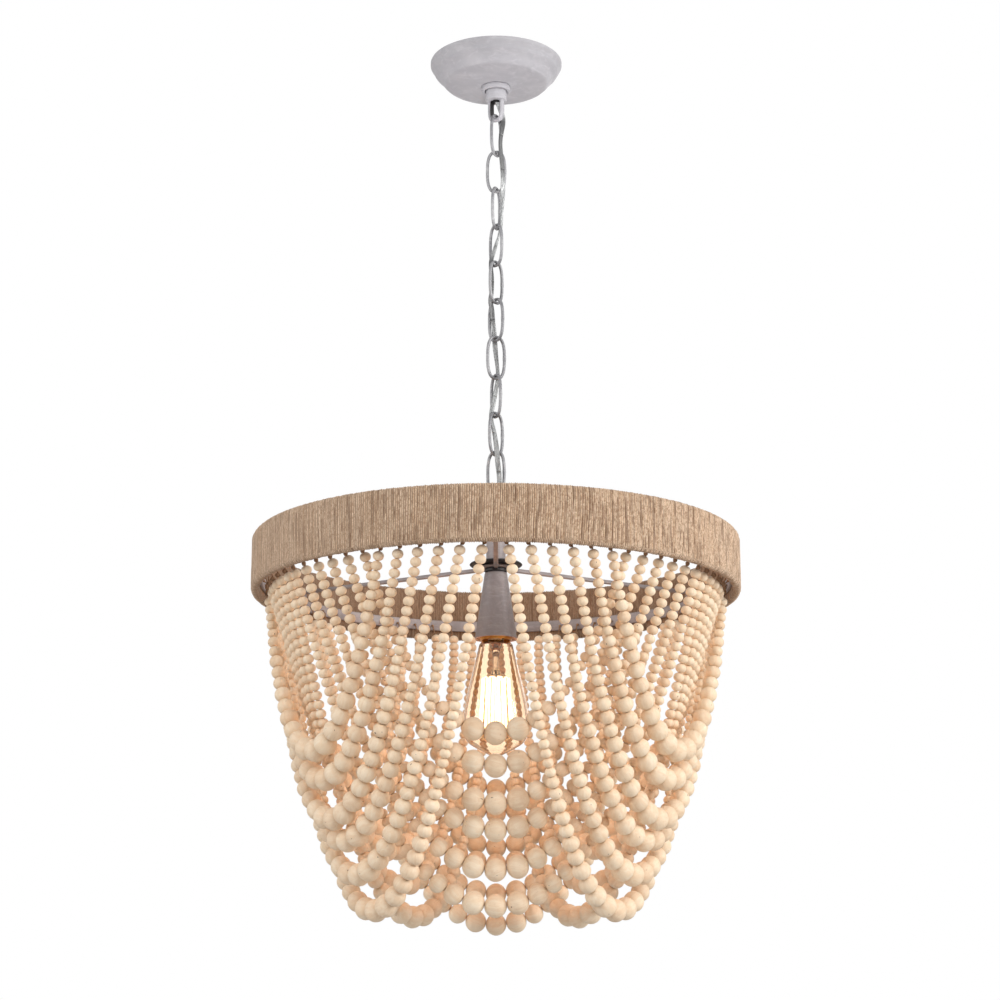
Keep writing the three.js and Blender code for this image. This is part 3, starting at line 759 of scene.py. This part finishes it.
def build_strings():
    """The strings through the beads, each end knotted to the hoop. One piece for each group."""
    for group in range(GROUPS):
        shells = Shells()
        for index in range(SWAGS):
            line = strand_line(group, index)
            ends = []
            for end in (0, -1):
                flat = line[end] * np.array([1, 1, 0])
                out = flat / np.linalg.norm(flat)
                ends.append(np.array([line[end] + UP * 2.4 + out * 0.8,
                                      out * (HOOP_INNER - 1.0) + UP * (HOOP_BOTTOM + 4.4)]))
            path = np.vstack([ends[0][::-1], line[::24], ends[1]])
            shells.add(*tube(path, STRING_RADIUS, 6))
            for end in ends:
                shells.add(*ball(end[1] + UP * 0.2, 1.5, 10, 0.8))
            for end in (0, -1):
                knot = line[end] - UP * (KNOT_DROP - 2.6)
                shells.add(*ball(knot, 2.1, 12, 1.15))
        shells.points = [turned_by(part, group * 60) for part in shells.points]
        make_piece(f"strings_{group + 1}", shells, STRING, "fixture")


def build_swags():
    """The swags of all the groups, and then their strings."""
    rng = random.Random(41)
    for group in range(GROUPS):
        for index in range(SWAGS):
            build_strand(f"beads_{group + 1}_{index + 1}", group, index, rng)
    build_strings()


# Twine band

TURNS = 736
WRAP_CORNER = 3.4
# Across one turn, from groove to groove: where, how deep, and how much painted shade darkens it
RIB_SHARES = np.array([0.0, 0.25, 0.5, 0.75])
RIB_DEPTHS = np.array([0.72, 0.13, 0.0, 0.13])
RIB_PAINTED_SHADE = np.array([1.0, 0.30, 0.0, 0.30])
RIB_POINTS = len(RIB_SHARES)
WANDER = 1.1


def twine_loop():
    """The outline of one turn round the band: out and up, over, down the inside and back."""
    low = RING_TOP - WRAP_HEIGHT
    top, bottom = RING_TOP - WRAP_CORNER, low + WRAP_CORNER
    outer, inner = RING_OUTER - WRAP_CORNER, RING_INNER + WRAP_CORNER
    straight = RING_TOP - low - 2 * WRAP_CORNER
    loop = []

    def side(across, shares):
        for share in shares:
            loop.append((across, bottom + share * straight))

    def corner(across, up, start):
        for degrees in (18, 45, 72):
            angle = math.radians(start + degrees)
            loop.append((across + WRAP_CORNER * math.cos(angle),
                         up + WRAP_CORNER * math.sin(angle)))

    side(RING_OUTER, np.linspace(0, 1, 10))
    corner(outer, top, 0)
    corner(inner, top, 90)
    side(RING_INNER, np.linspace(1, 0, 6))
    corner(inner, bottom, 180)
    corner(outer, bottom, 270)
    return np.array(loop)


def build_twine():
    """Twine wound closely round the band: every turn is a rounded rib with a groove beside it."""
    rng = np.random.default_rng(7)
    loop = twine_loop()
    count = len(loop)
    ahead = np.roll(loop, -1, axis=0) - np.roll(loop, 1, axis=0)
    normal = np.column_stack([ahead[:, 1], -ahead[:, 0]])
    normal /= np.linalg.norm(normal, axis=1)[:, None]
    run = np.concatenate([[0], np.cumsum(np.linalg.norm(np.diff(loop, axis=0), axis=1))])

    widths = 1 + rng.uniform(-0.22, 0.22, TURNS)
    edges = np.concatenate([[0], np.cumsum(widths)]) / widths.sum() * FULL_TURN
    angles = (edges[:-1, None] + (edges[1:] - edges[:-1])[:, None] * RIB_SHARES).ravel()
    proud = np.repeat(rng.uniform(-0.22, 0.22, TURNS), RIB_POINTS)
    proud[::RIB_POINTS] = 0
    tones = rng.uniform(0, 1, TURNS)
    slow = 0.5 + 0.5 * np.sin(edges[:-1] * 9 + 1.3) * np.sin(edges[:-1] * 23 + 0.4)
    tones = np.clip(0.75 * tones + 0.25 * slow, 0, 1)
    columns = len(angles)

    wander = np.zeros((columns, count))
    ripple = np.zeros((columns, count))
    along = run / 60
    for wave in range(1, 9):
        for part in range(1, 4):
            phase, other = rng.uniform(0, FULL_TURN, 2)
            wander += np.outer(
                np.sin(angles * wave * 3 + phase), np.sin(along * part * 2 + other)) / wave
            phase, other = rng.uniform(0, FULL_TURN, 2)
            ripple += np.outer(
                np.sin(angles * wave * 37 + phase), np.sin(along * part * 7 + other)) / 8
    wander = wander / np.abs(wander).max() * WANDER / RING_OUTER
    jitter = np.repeat(rng.uniform(-0.12, 0.12, (TURNS, count)), RIB_POINTS, axis=0)
    jitter = (jitter + np.roll(jitter, 1, axis=1)) / 2

    offset = -np.tile(RIB_DEPTHS, TURNS)[:, None] + proud[:, None] + 0.10 * ripple + jitter
    offset = np.minimum(offset, 0.3)
    radius = loop[None, :, 0] + normal[None, :, 0] * offset
    height = loop[None, :, 1] + normal[None, :, 1] * offset
    theta = angles[:, None] + wander
    points = np.stack([radius * np.cos(theta), radius * np.sin(theta), height], axis=2)

    faces = [(a, d, c, b) for a, b, c, d in skin(columns, count, closed=True)]
    turn_number = np.repeat(np.arange(TURNS), RIB_POINTS)
    fibre = np.zeros((columns, count, 3))
    fibre[:, :, 0] = (angles * 0.24)[:, None]
    fibre[:, :, 1] = (run * MM)[None, :] + (turn_number * 0.37)[:, None] % 1.7
    fibre[:, :, 2] = (turn_number * 0.61 % 5.0)[:, None]
    # Painted shade on the band's inner face: full across it, fading out over the corners.
    inside = np.interp(loop[:, 0], [RING_INNER + 1, RING_INNER + 6], [0.70, 0.0])
    # The groove values carry the painted shade of each part of a turn.
    shells = Shells().add(
        points.reshape(-1, 3), faces,
        fibre=fibre.reshape(-1, 3),
        tone=np.repeat(np.repeat(tones, RIB_POINTS), count),
        groove=np.repeat(np.tile(RIB_PAINTED_SHADE, TURNS), count),
        inner=np.tile(inside, columns),
    )
    make_piece("twine_winding", shells, TWINE, "fixture", ["twine_wrap"])


# Ceiling end

def build_canopy():
    """Pressed dish with a rolled rim and two steps, open to the ceiling."""
    depth, reach, wall, roll = 26.0, 68.3, 1.2, 1.5
    shares = [(0.25, 1), (0.5, 0.965), (0.73, 0.9), (0.8, 0.8), (0.86, 0.6), (0.93, 0.42),
              (0.955, 0.3), (1, 0.1), (1, 0)]
    outside = [(12.0, -depth)] + [(reach * r, -depth * d) for r, d in shares]
    curve = np.vstack([smooth_line(outside[:-1], 5), [outside[-1]]])
    inside = curve - side_normals(curve) * wall
    inside[0] = curve[0] + np.array([0, wall])
    inside[-1] = curve[-1] + np.array([-wall, 0])
    shells = Shells().add(*lathe(hollow(curve, inside), 112))
    rim = [(reach - roll + roll * math.cos(a), -1.6 + roll * math.sin(a))
           for a in np.linspace(0, FULL_TURN, 13)[:-1]]
    shells.add(*lathe(rim, 112))
    make_piece("canopy_dish", shells, WASHED, "canopy", ["canopy"], sharp=40)


def build_collar():
    """The nut under the canopy, with a slanted lower edge."""
    top, bore, reach, height = -26.3, 11.4, 15.3, 5.4
    profile = [(bore, top), (reach, top), (reach, top - 2.2), (14.4, top - height),
               (12.3, top - height), (bore, top - 4.6)]
    shells = Shells().add(*lathe(rounded(profile, 1.1, 4), 72))
    make_piece("collar_nut", shells, WASHED, "collar_ring",
               ["collar_ring"], sharp=40)


def oval(reach, top, bottom, roundness, count):
    """A long upright oval of this half width in the XZ plane. Roundness 1 is an ellipse."""
    angles = np.arange(count) * FULL_TURN / count
    wide, tall = np.cos(angles), np.sin(angles)
    return np.column_stack([
        reach * np.sign(wide) * np.abs(wide) ** roundness,
        np.zeros(count),
        (top + bottom) / 2 + (top - bottom) / 2 * np.sign(tall) * np.abs(tall) ** roundness,
    ])


THREAD_PITCH = 1.0
THREAD_ROOT = 4.35
THREAD_CREST = 4.8


def eye_loop(bar, base_near, base_far, base_radius, stem_tip, yaw, width, depth, roundness, square):
    """A cast screw loop: an eye, a round base and a bored, threaded stem.

    The eye's bar is as deep as told. Its section is an ellipse where square is 1, and grows
    fuller below that.
    """
    way = 1 if base_far > bar else -1
    far = base_near + way * width
    path = oval(width / 2 - LOOP_BAR_RADIUS, max(bar, far), min(bar, far), roundness, 72)
    section = []
    for angle in np.linspace(0, FULL_TURN, 21)[:-1]:
        deep, thick = math.cos(angle), math.sin(angle)
        section.append((math.copysign(abs(deep) ** square, deep) * depth / 2,
                        math.copysign(abs(thick) ** square, thick) * LOOP_BAR_RADIUS))
    shells = Shells().add(
        *tube(path, 1.0, closed=True, section=np.array(section), first=(0, 1, 0)))
    low, high = min(base_near, base_far), max(base_near, base_far)
    base = [(STEM_BORE, low), (base_radius, low), (base_radius, high), (STEM_BORE, high)]
    shells.add(*lathe(rounded(base, 1.8, 5), 48))
    steps = 2 * max(int(abs(stem_tip - base_far) / THREAD_PITCH), 2)
    thread = [(STEM_BORE, base_far)]
    for step in range(steps + 1):
        radius = THREAD_CREST if step % 2 else THREAD_ROOT
        thread.append((radius, base_far + (stem_tip - base_far) * (step / steps)))
    shells.add(*lathe(thread + [(STEM_BORE, stem_tip)], 40))
    shells.points = [turned_by(part, yaw) for part in shells.points]
    return shells


def build_loops():
    """The two screw loops, and inside the upper one a black bush over the bore and a thin black
    strip on the hole's left and top faces, painted shadow.
    """
    upper = eye_loop(CEILING_BAR, CEILING_BAR + 20.85, -15.0, 10.9, -0.3,
                     CEILING_LOOP_YAW, 18.5, 6.0, CEILING_EYE_ROUND, 1.0)
    make_piece("ceiling_screw_loop", upper, WASHED, "ceiling",
               ["ceiling_loop"], sharp=45)
    lower = eye_loop(FIXTURE_BAR, FIXTURE_BAR - 21.25, HUB_SEAT, 9.6, STEM_END,
                     FIXTURE_LOOP_YAW, 20.8, 4.5, LINK_ROUND, 0.75)
    make_piece("fixture_screw_loop", lower, GREY, "fixture",
               ["fixture_loop"], sharp=45)

    # Painted shadow: a black bush over the bore's mouth, and a thin black strip along the hole's
    # left and top inner faces.
    bush = [(1.5, -43.0), (4.0, -43.0), (4.4, -42.4), (4.4, -41.2), (1.5, -41.2)]
    shells = Shells().add(*lathe(rounded(bush, 0.4, 2), 32))
    hole = oval(4.85, CEILING_BAR + 40.0, CEILING_BAR + 2.15, CEILING_EYE_ROUND, 144)
    shadow_strip = hole[(hole[:, 0] < -1.2) & (hole[:, 2] < -41.4)]
    shadow_strip = shadow_strip[np.argsort(-shadow_strip[:, 2])]
    ledge = [(3.4, 0, -41.9), (-3.2, 0, -41.9), (-4.5, 0, -43.0)]
    shadow_strip = np.vstack([ledge, shadow_strip[shadow_strip[:, 2] < -43.4]])
    flat = np.array([(3.5, 0.2), (-3.5, 0.2), (-3.5, -0.2), (3.5, -0.2)])
    points, faces = tube(smooth_line(shadow_strip, 2), 1.0, section=flat, first=(0, 1, 0))
    shells.add(turned_by(points, CEILING_LOOP_YAW), faces)
    make_piece("ceiling_loop_hole_shadow", shells, HOLE_SHADOW_PAINT, "ceiling", sharp=40)


def build_chain():
    """Ten welded wire links. The weld is a low swelling on one long side."""
    for index, yaw in enumerate(LINK_YAWS):
        top = FIRST_LINK_TOP - index * LINK_PITCH
        bottom = top - LINK_LENGTH
        path = oval(LINK_REACH, top, bottom, LINK_ROUND, 72)
        radii = []
        for x, _, z in path:
            weld = math.exp(-((z - (top + bottom) / 2) / 1.6) ** 2) if x > 8 else 0
            radii.append(LINK_WIRE + 0.2 * weld)
        points, faces = tube(path, radii, 14, closed=True, first=(0, 1, 0))
        shells = Shells().add(turned_by(points, yaw), faces)
        number = f"{index + 1:02d}"
        make_piece(f"link_wire_{number}", shells, CHAIN, f"link_{number}",
                   [f"chain_link_{number}"])


# Cord

# The middle of the cord, as in the model
CORD_ROUTE = [
    (0, 0, -0.5), (0, 0, -20), (0, 0, -38), (1.9, 1.1, -44), (4.6, 2.4, -51), (6.9, 3, -58),
    (7.1, 2.6, -65), (6, 1.1, -73), (4.8, -1.1, -82), (4.4, -3.3, -92), (5, -4.9, -102),
    (5.8, -5.6, -112), (6.5, -5.7, -122), (6.9, -5.2, -132), (6.9, -4.4, -140), (6.7, -3.3, -147),
    (6.5, -2.1, -154), (6.2, -0.9, -162), (5.6, 0.2, -171), (4.9, 1, -180), (2.9, 1.3, -189),
    (0.4, 1.5, -198), (-2.1, 1.6, -207), (-4.8, 1.4, -216), (-5.2, 0.6, -225), (-4.4, 0.2, -234),
    (-4.2, 0, -243), (-4.7, 0, -252), (-5.6, 0.4, -261), (-4.2, 1.4, -270), (-3.3, 2.7, -279),
    (-2.3, 4.4, -288), (-1.5, 6.1, -297), (-1.1, 6.9, -306), (-0.3, 7.1, -315), (0.7, 6.9, -324),
    (1.6, 6.3, -333), (1.7, 5.5, -342), (0.5, 4.4, -351), (-1.1, 3.2, -360), (-2.7, 1.9, -369),
    (-4.5, 0.6, -378), (-4.8, -0.8, -387), (-2.7, -2.1, -396), (-1, -3.3, -405), (0.2, -4.3, -414),
    (1.1, -5.2, -423), (1.7, -5.8, -432), (2.7, -6.1, -441), (3.4, -6, -450), (3.3, -5.6, -459),
    (2.2, -3.4, -468), (0.8, -1.2, -476), (0.1, -0.2, -483), (0, 0, -489), (0, 0, -495),
    (0, 0, -503), (0, 0, -515), (0, 0, -553.3),
]
# How far the flat cord is turned at each of those places, in degrees
CORD_TURNS = [
    -66, -56, -46, -37, -27, -17, 0, 28, 52, 56, 49, 49, 52, 52, 33, -9, -51, -80, -99, -103, -90,
    -67, -51, -43, -49, -51, -49, -42, -33, -36, -43, -45, -31, 2, 36, 58, 64, 59, 52, 49, 47, 46,
    49, 52, 42, 26, 8, -8, -22, -31, -33, -33, -34, -35, -36, -37, -38, -39, -39,
]
CORD_STEPS = 5
# How much painted shade darkens the cord, by height down from the ceiling
CORD_SHADE_PLACES = [60, 64, 122, 134, 210, 217, 276, 288, 420, 440]
CORD_SHADE_AMOUNTS = [0.0, 0.9, 0.75, 0.1, 0.0, 0.95, 0.8, 0.15, 0.1, 0.3]


def cord_line(steps):
    """The model's own curve through the route: a centripetal spline, in even steps."""
    route = np.array(CORD_ROUTE, float)
    padded = np.vstack([2 * route[0] - route[1], route, 2 * route[-1] - route[-2]])
    line = []
    for index in range(len(route) - 1):
        p = padded[index:index + 4]
        d = [max(((p[k + 1] - p[k]) ** 2).sum() ** 0.25, 1e-4) for k in range(3)]
        leave = ((p[1] - p[0]) / d[0] - (p[2] - p[0]) / (d[0] + d[1]) + (p[2] - p[1]) / d[1]) * d[1]
        enter = ((p[2] - p[1]) / d[1] - (p[3] - p[1]) / (d[1] + d[2]) + (p[3] - p[2]) / d[2]) * d[1]
        for step in range(steps):
            t = step / steps
            line.append(p[1] + leave * t + (-3 * p[1] + 3 * p[2] - 2 * leave - enter) * t ** 2
                        + (2 * p[1] - 2 * p[2] + leave + enter) * t ** 3)
    line.append(route[-1])
    return np.array(line)


def build_cord():
    """The flat cord, in one length for each joint that it crosses."""
    line = cord_line(CORD_STEPS)
    turns = np.interp(np.arange(len(line)) / CORD_STEPS, np.arange(len(CORD_TURNS)),
                      np.radians(CORD_TURNS))
    along = np.gradient(line, axis=0)
    along /= np.linalg.norm(along, axis=1)[:, None]
    across = np.column_stack([np.cos(turns), np.sin(turns), np.zeros(len(turns))])
    across -= along * np.sum(across * along, axis=1)[:, None]
    across /= np.linalg.norm(across, axis=1)[:, None]
    third = np.cross(along, across)
    section = []
    for degrees in range(0, 360, 20):
        angle = math.radians(degrees)
        wide = math.cos(angle)
        lobe = math.copysign(1.2, wide) if abs(wide) > 0.05 else 0
        waist = 1.0 if lobe and abs(wide) > 0.2 else 0.72
        section.append((lobe + 1.4 * wide, 1.4 * waist * math.sin(angle)))
    section = np.array(section)
    sides = len(section)
    rings = (line[:, None] + section[None, :, 0, None] * across[:, None]
             + section[None, :, 1, None] * third[:, None])
    links = len(LINK_YAWS)
    middles = [FIRST_LINK_TOP - LINK_LENGTH / 2 - LINK_PITCH * k for k in range(links)]
    bounds = [line[0][2] + 1] + middles + [line[-1][2] - 1]
    for part in range(links + 1):
        high, low = bounds[part], bounds[part + 1]
        start = int(np.argmin(np.abs(line[:, 2] - high))) if part else 0
        end = int(np.argmin(np.abs(line[:, 2] - low))) if part < links else len(line) - 1
        chosen = rings[start:end + 1]
        # The painted shade for each ring of the cord, by its height.
        core = np.interp(-chosen[:, 0, 2], CORD_SHADE_PLACES, CORD_SHADE_AMOUNTS)
        shells = Shells().add(
            chosen.reshape(-1, 3), skin(len(chosen), sides), core=np.repeat(core, sides))
        piece = make_piece(
            f"cord_length_{part + 1:02d}", shells, CORD, None, ["supply_cord"])
        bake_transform(piece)


# Hub, frame, cup and lamp

def bar_shell(outline, half_width):
    """A flat bar, bevelled a little: an outline in the XZ plane and half its width."""
    outline, edge = np.array(outline, float), 0.5
    count = len(outline)
    after = np.roll(outline, -1, axis=0)
    ahead = (after - outline) / np.linalg.norm(after - outline, axis=1)[:, None]
    area = np.sum(outline[:, 0] * after[:, 1] - after[:, 0] * outline[:, 1])
    normals = np.column_stack([-ahead[:, 1], ahead[:, 0]]) * (1 if area > 0 else -1)
    inset = outline + (normals + np.roll(normals, 1, axis=0)) * edge
    rows = [np.column_stack([shape[:, 0], np.full(count, depth), shape[:, 1]])
            for shape, depth in ((inset, -half_width), (outline, -half_width + edge),
                                 (outline, half_width - edge), (inset, half_width))]
    return np.vstack(rows), skin(len(rows), count)


def build_frame():
    """Hoop, hub and three arms in one, with the washer above the hub and the nut under it."""
    hoop = [(HOOP_INNER, HOOP_TOP), (HOOP_OUTER, HOOP_TOP),
            (HOOP_OUTER, HOOP_BOTTOM), (HOOP_INNER, HOOP_BOTTOM)]
    shells = Shells().add(*lathe(rounded(hoop, 0.6, 2), 192))
    hub = [(HUB_HOLE, HUB_TOP), (15, HUB_TOP), (15, HUB_BOTTOM), (HUB_HOLE, HUB_BOTTOM)]
    shells.add(*lathe(rounded(hub, 0.9, 3), 64))
    start, arm_low = 11.4, HUB_TOP - 3.6
    end = (HOOP_INNER + HOOP_OUTER) / 2
    tab = HOOP_TOP - 5.5
    outline = [(start, HUB_TOP), (end - 1.2, HUB_TOP), (end, HUB_TOP - 1.2), (end, tab),
               (end - 3, tab), (end - 3, arm_low), (start, arm_low)]
    for arm in range(3):
        points, faces = bar_shell(outline, 2.3)
        shells.add(turned_by(points, arm * 120 - 90), faces)
        for side in (-1, 1):
            points, faces = ball((end - 1.5, side * 2.2, HOOP_TOP - 1.0), 1.1, 10, 1.6)
            shells.add(turned_by(points, arm * 120 - 90), faces)
    make_piece("hub_and_hoop", shells, GREY, "fixture", ["hoop_frame"], sharp=40)

    low = WASHER_TOP - 2.6
    washer = [(HUB_HOLE, WASHER_TOP), (24.9, WASHER_TOP), (26, WASHER_TOP - 1.1),
              (26, WASHER_TOP - 1.5), (24.9, low), (HUB_HOLE, low)]
    shells = Shells().add(*lathe(rounded(washer, 0.8, 3), 80))
    make_piece("hub_washer_disc", shells, BLACK, "fixture", ["hub_washer"], sharp=40)

    edge, low = 11, LOCK_RING_TOP - 3.4
    ring = [(HUB_HOLE, LOCK_RING_TOP), (edge, LOCK_RING_TOP), (edge, low), (HUB_HOLE, low)]
    points, faces = lathe(rounded(ring, 0.5, 3), 72)
    reach = np.hypot(points[:, 0], points[:, 1])
    angle = np.arctan2(points[:, 1], points[:, 0])
    notch = np.where(reach > 10.3, 0.22 * np.sign(np.sin(angle * 18)), 0)
    points[:, :2] *= (1 - np.maximum(notch, 0) / edge)[:, None]
    shells = Shells().add(points, faces)
    make_piece("lock_ring_nut", shells, BLACK, "fixture", ["lock_ring"], sharp=40)


def build_socket():
    """The cup, and the lampholder in it with a threaded mouth."""
    step_down = CUP_TOP - 1.2
    cup = [(HUB_HOLE, CUP_TOP), (10, CUP_TOP), (11.2, step_down), (20.7, CUP_MOUTH),
           (19.5, CUP_MOUTH), (10, step_down), (HUB_HOLE, step_down)]
    shells = Shells().add(*lathe(rounded(cup, 1.0, 4), 96))
    make_piece("cup_shell", shells, GREY, "fixture", ["socket_cup"], sharp=50)

    bore_top, bore, barrel = -587.05, 13.8, 15.6
    neck_top, mouth = STEM_END - 0.3, BARREL_MOUTH + 1.0
    profile = [(0, neck_top), (HUB_HOLE, neck_top), (HUB_HOLE, HOLDER_TOP), (9, HOLDER_TOP),
               (9, HOLDER_TOP - 27), (barrel, BARREL_TOP), (barrel, mouth),
               (15.0, BARREL_MOUTH), (bore + 0.6, BARREL_MOUTH)]
    for step in range(12):
        profile.append((bore + (0.5 if step % 2 else 0.0), mouth + step * 1.7))
    profile += [(bore, bore_top), (0, bore_top)]
    make_piece("lampholder_shell", Shells().add(*lathe(profile, 64)), BRASS, "fixture",
               ["lampholder"], sharp=40)


# Lamp

STEM_LOW = CAP_BOTTOM - 36
ROD_LOW = CAP_BOTTOM - 88
CAGE_TOP = STEM_LOW - 4.0
CAGE_LOW = ROD_LOW - 1.0
HOOKS = 16


def build_lamp_cap():
    """The brass cap with its thread."""
    cap_top = CAP_BOTTOM + 22.5
    profile = [(0, cap_top), (4.5, cap_top), (4.5, cap_top - 1.6), (12.4, cap_top - 5)]
    for step in range(15):
        profile.append((13.2 if step % 2 else 12.5, cap_top - 5.6 - step * 1.05))
    profile += [(13.2, CAP_BOTTOM + 1.0), (13.0, CAP_BOTTOM), (0, CAP_BOTTOM)]
    make_piece("lamp_cap_shell", Shells().add(*lathe(profile, 64)), BRASS, "lamp",
               ["lamp_cap"], sharp=40)


def build_bulb():
    """The pear-shaped bulb, a thin wall of amber glass."""
    neck, full, wall = 17.4, 31.6, 0.8
    shares = [(0.36, 0.28), (0.68, 0.44), (0.92, 0.585), (1, 0.68)]
    ends = [(0.985, 0.80), (0.93, 0.862), (0.78, 0.912), (0.5, 0.957), (0.22, 0.998)]
    rows = [(13.4, 0.0), (13.6, 0.024), (neck - 1.1, 0.054), (neck, 0.09)]
    rows += [(neck + (full - neck) * reach, drop) for reach, drop in shares]
    rows += [(full * reach, drop) for reach, drop in ends] + [(0.0, 1.03)]
    rows = [(radius, GLASS_TOP - drop * BULB_LENGTH) for radius, drop in rows]
    mirror = (-rows[-2][0], rows[-2][1])
    curve = smooth_line(rows + [mirror], 5)[:-5]
    curve[-1] = (0, rows[-1][1])
    curve[:, 0] = np.maximum(curve[:, 0], 0)
    inside = curve + side_normals(curve) * wall
    inside[-1] = (0, curve[-1][1] + wall)
    inside[0] = (curve[0][0] - wall, curve[0][1])
    make_piece("lamp_bulb_glass", Shells().add(*lathe(hollow(curve, inside), 96)), GLASS,
               "lamp", ["lamp_glass"])


def build_lamp_stem():
    """The glass stem, and the rod, hooks and leads that carry the filament."""
    stem = [(0, CAP_BOTTOM - 0.2), (8.5, CAP_BOTTOM - 0.2), (7.0, CAP_BOTTOM - 5),
            (4.2, CAP_BOTTOM - 12), (3.2, CAP_BOTTOM - 20), (3.4, STEM_LOW + 6),
            (4.6, STEM_LOW + 2), (3.0, STEM_LOW - 1.5), (0, STEM_LOW - 2.5)]
    curve = [tuple(p) for p in smooth_line(stem[1:-1], 4)]
    shells = Shells().add(*lathe([stem[0]] + curve + [stem[-1]], 40))
    make_piece("lamp_stem_glass", shells, STEM_GLASS, "lamp")

    shells = Shells().add(*tube([(0, 0, STEM_LOW + 4), (0, 0, ROD_LOW)], 0.7, 10))
    for index in range(HOOKS):
        angle = index / HOOKS * FULL_TURN
        direction = np.array([math.cos(angle), math.sin(angle), 0])
        height, reach, rise = (CAGE_TOP, 13.0, 2.0) if index % 2 else (CAGE_LOW, 15.4, 3.0)
        start = UP * (height + rise)
        path = [start, start + direction * reach * 0.5 + UP * 0.6, direction * reach + UP * height]
        shells.add(*tube(smooth_line(path, 4), 0.28, 6))
    for side in (-1, 1):
        lead = [(side * 2.0, 0, STEM_LOW + 4), (side * 3.2, 0, STEM_LOW - 1),
                (side * 8, 0, CAGE_TOP + 2.5), (side * 12.6, 0, CAGE_TOP + 0.5)]
        shells.add(*tube(smooth_line(lead, 5), 0.4, 8))
    make_piece("lamp_supports", shells, ZINC, "lamp")


def build_filament():
    """Two rings of hot filament, drawn up and down between the hooks, and the light they give."""
    shells = Shells()
    for ring, (count, wide, narrow) in enumerate(((22, 16.2, 13.4), (14, 9.6, 8.0))):
        path = []
        for index in range(count):
            angle = (index + 0.5 * ring) / count * FULL_TURN
            ends = [(narrow, CAGE_TOP), (wide, CAGE_LOW)]
            for radius, height in ends[::-1] if index % 2 else ends:
                path.append((radius * math.cos(angle), radius * math.sin(angle), height))
        path = np.array(path)
        fine = []
        for spot, after in zip(path, np.roll(path, -1, axis=0)):
            for share in np.linspace(0, 1, 7)[:-1]:
                fine.append(spot * (1 - share) + after * share)
        shells.add(*tube(fine, 0.62, 6, closed=True))
    make_piece("lamp_filament", shells, GLOW, "lamp")

    light = add_light(
        "filament_light", "POINT", (0, 0, (CAGE_TOP + CAGE_LOW) / 2 * MM), 0.7, (1.0, 0.52, 0.32),
        hidden=True, shadow_soft_size=0.016)
    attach(light, "lamp")


build_swags()
build_twine()
build_canopy()
build_collar()
build_loops()
build_chain()
build_cord()
build_frame()
build_socket()
build_lamp_cap()
build_bulb()
build_lamp_stem()
build_filament()

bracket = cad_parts["ceiling_crossbar"]
bracket.data.materials.clear()
bracket.data.materials.append(ZINC)
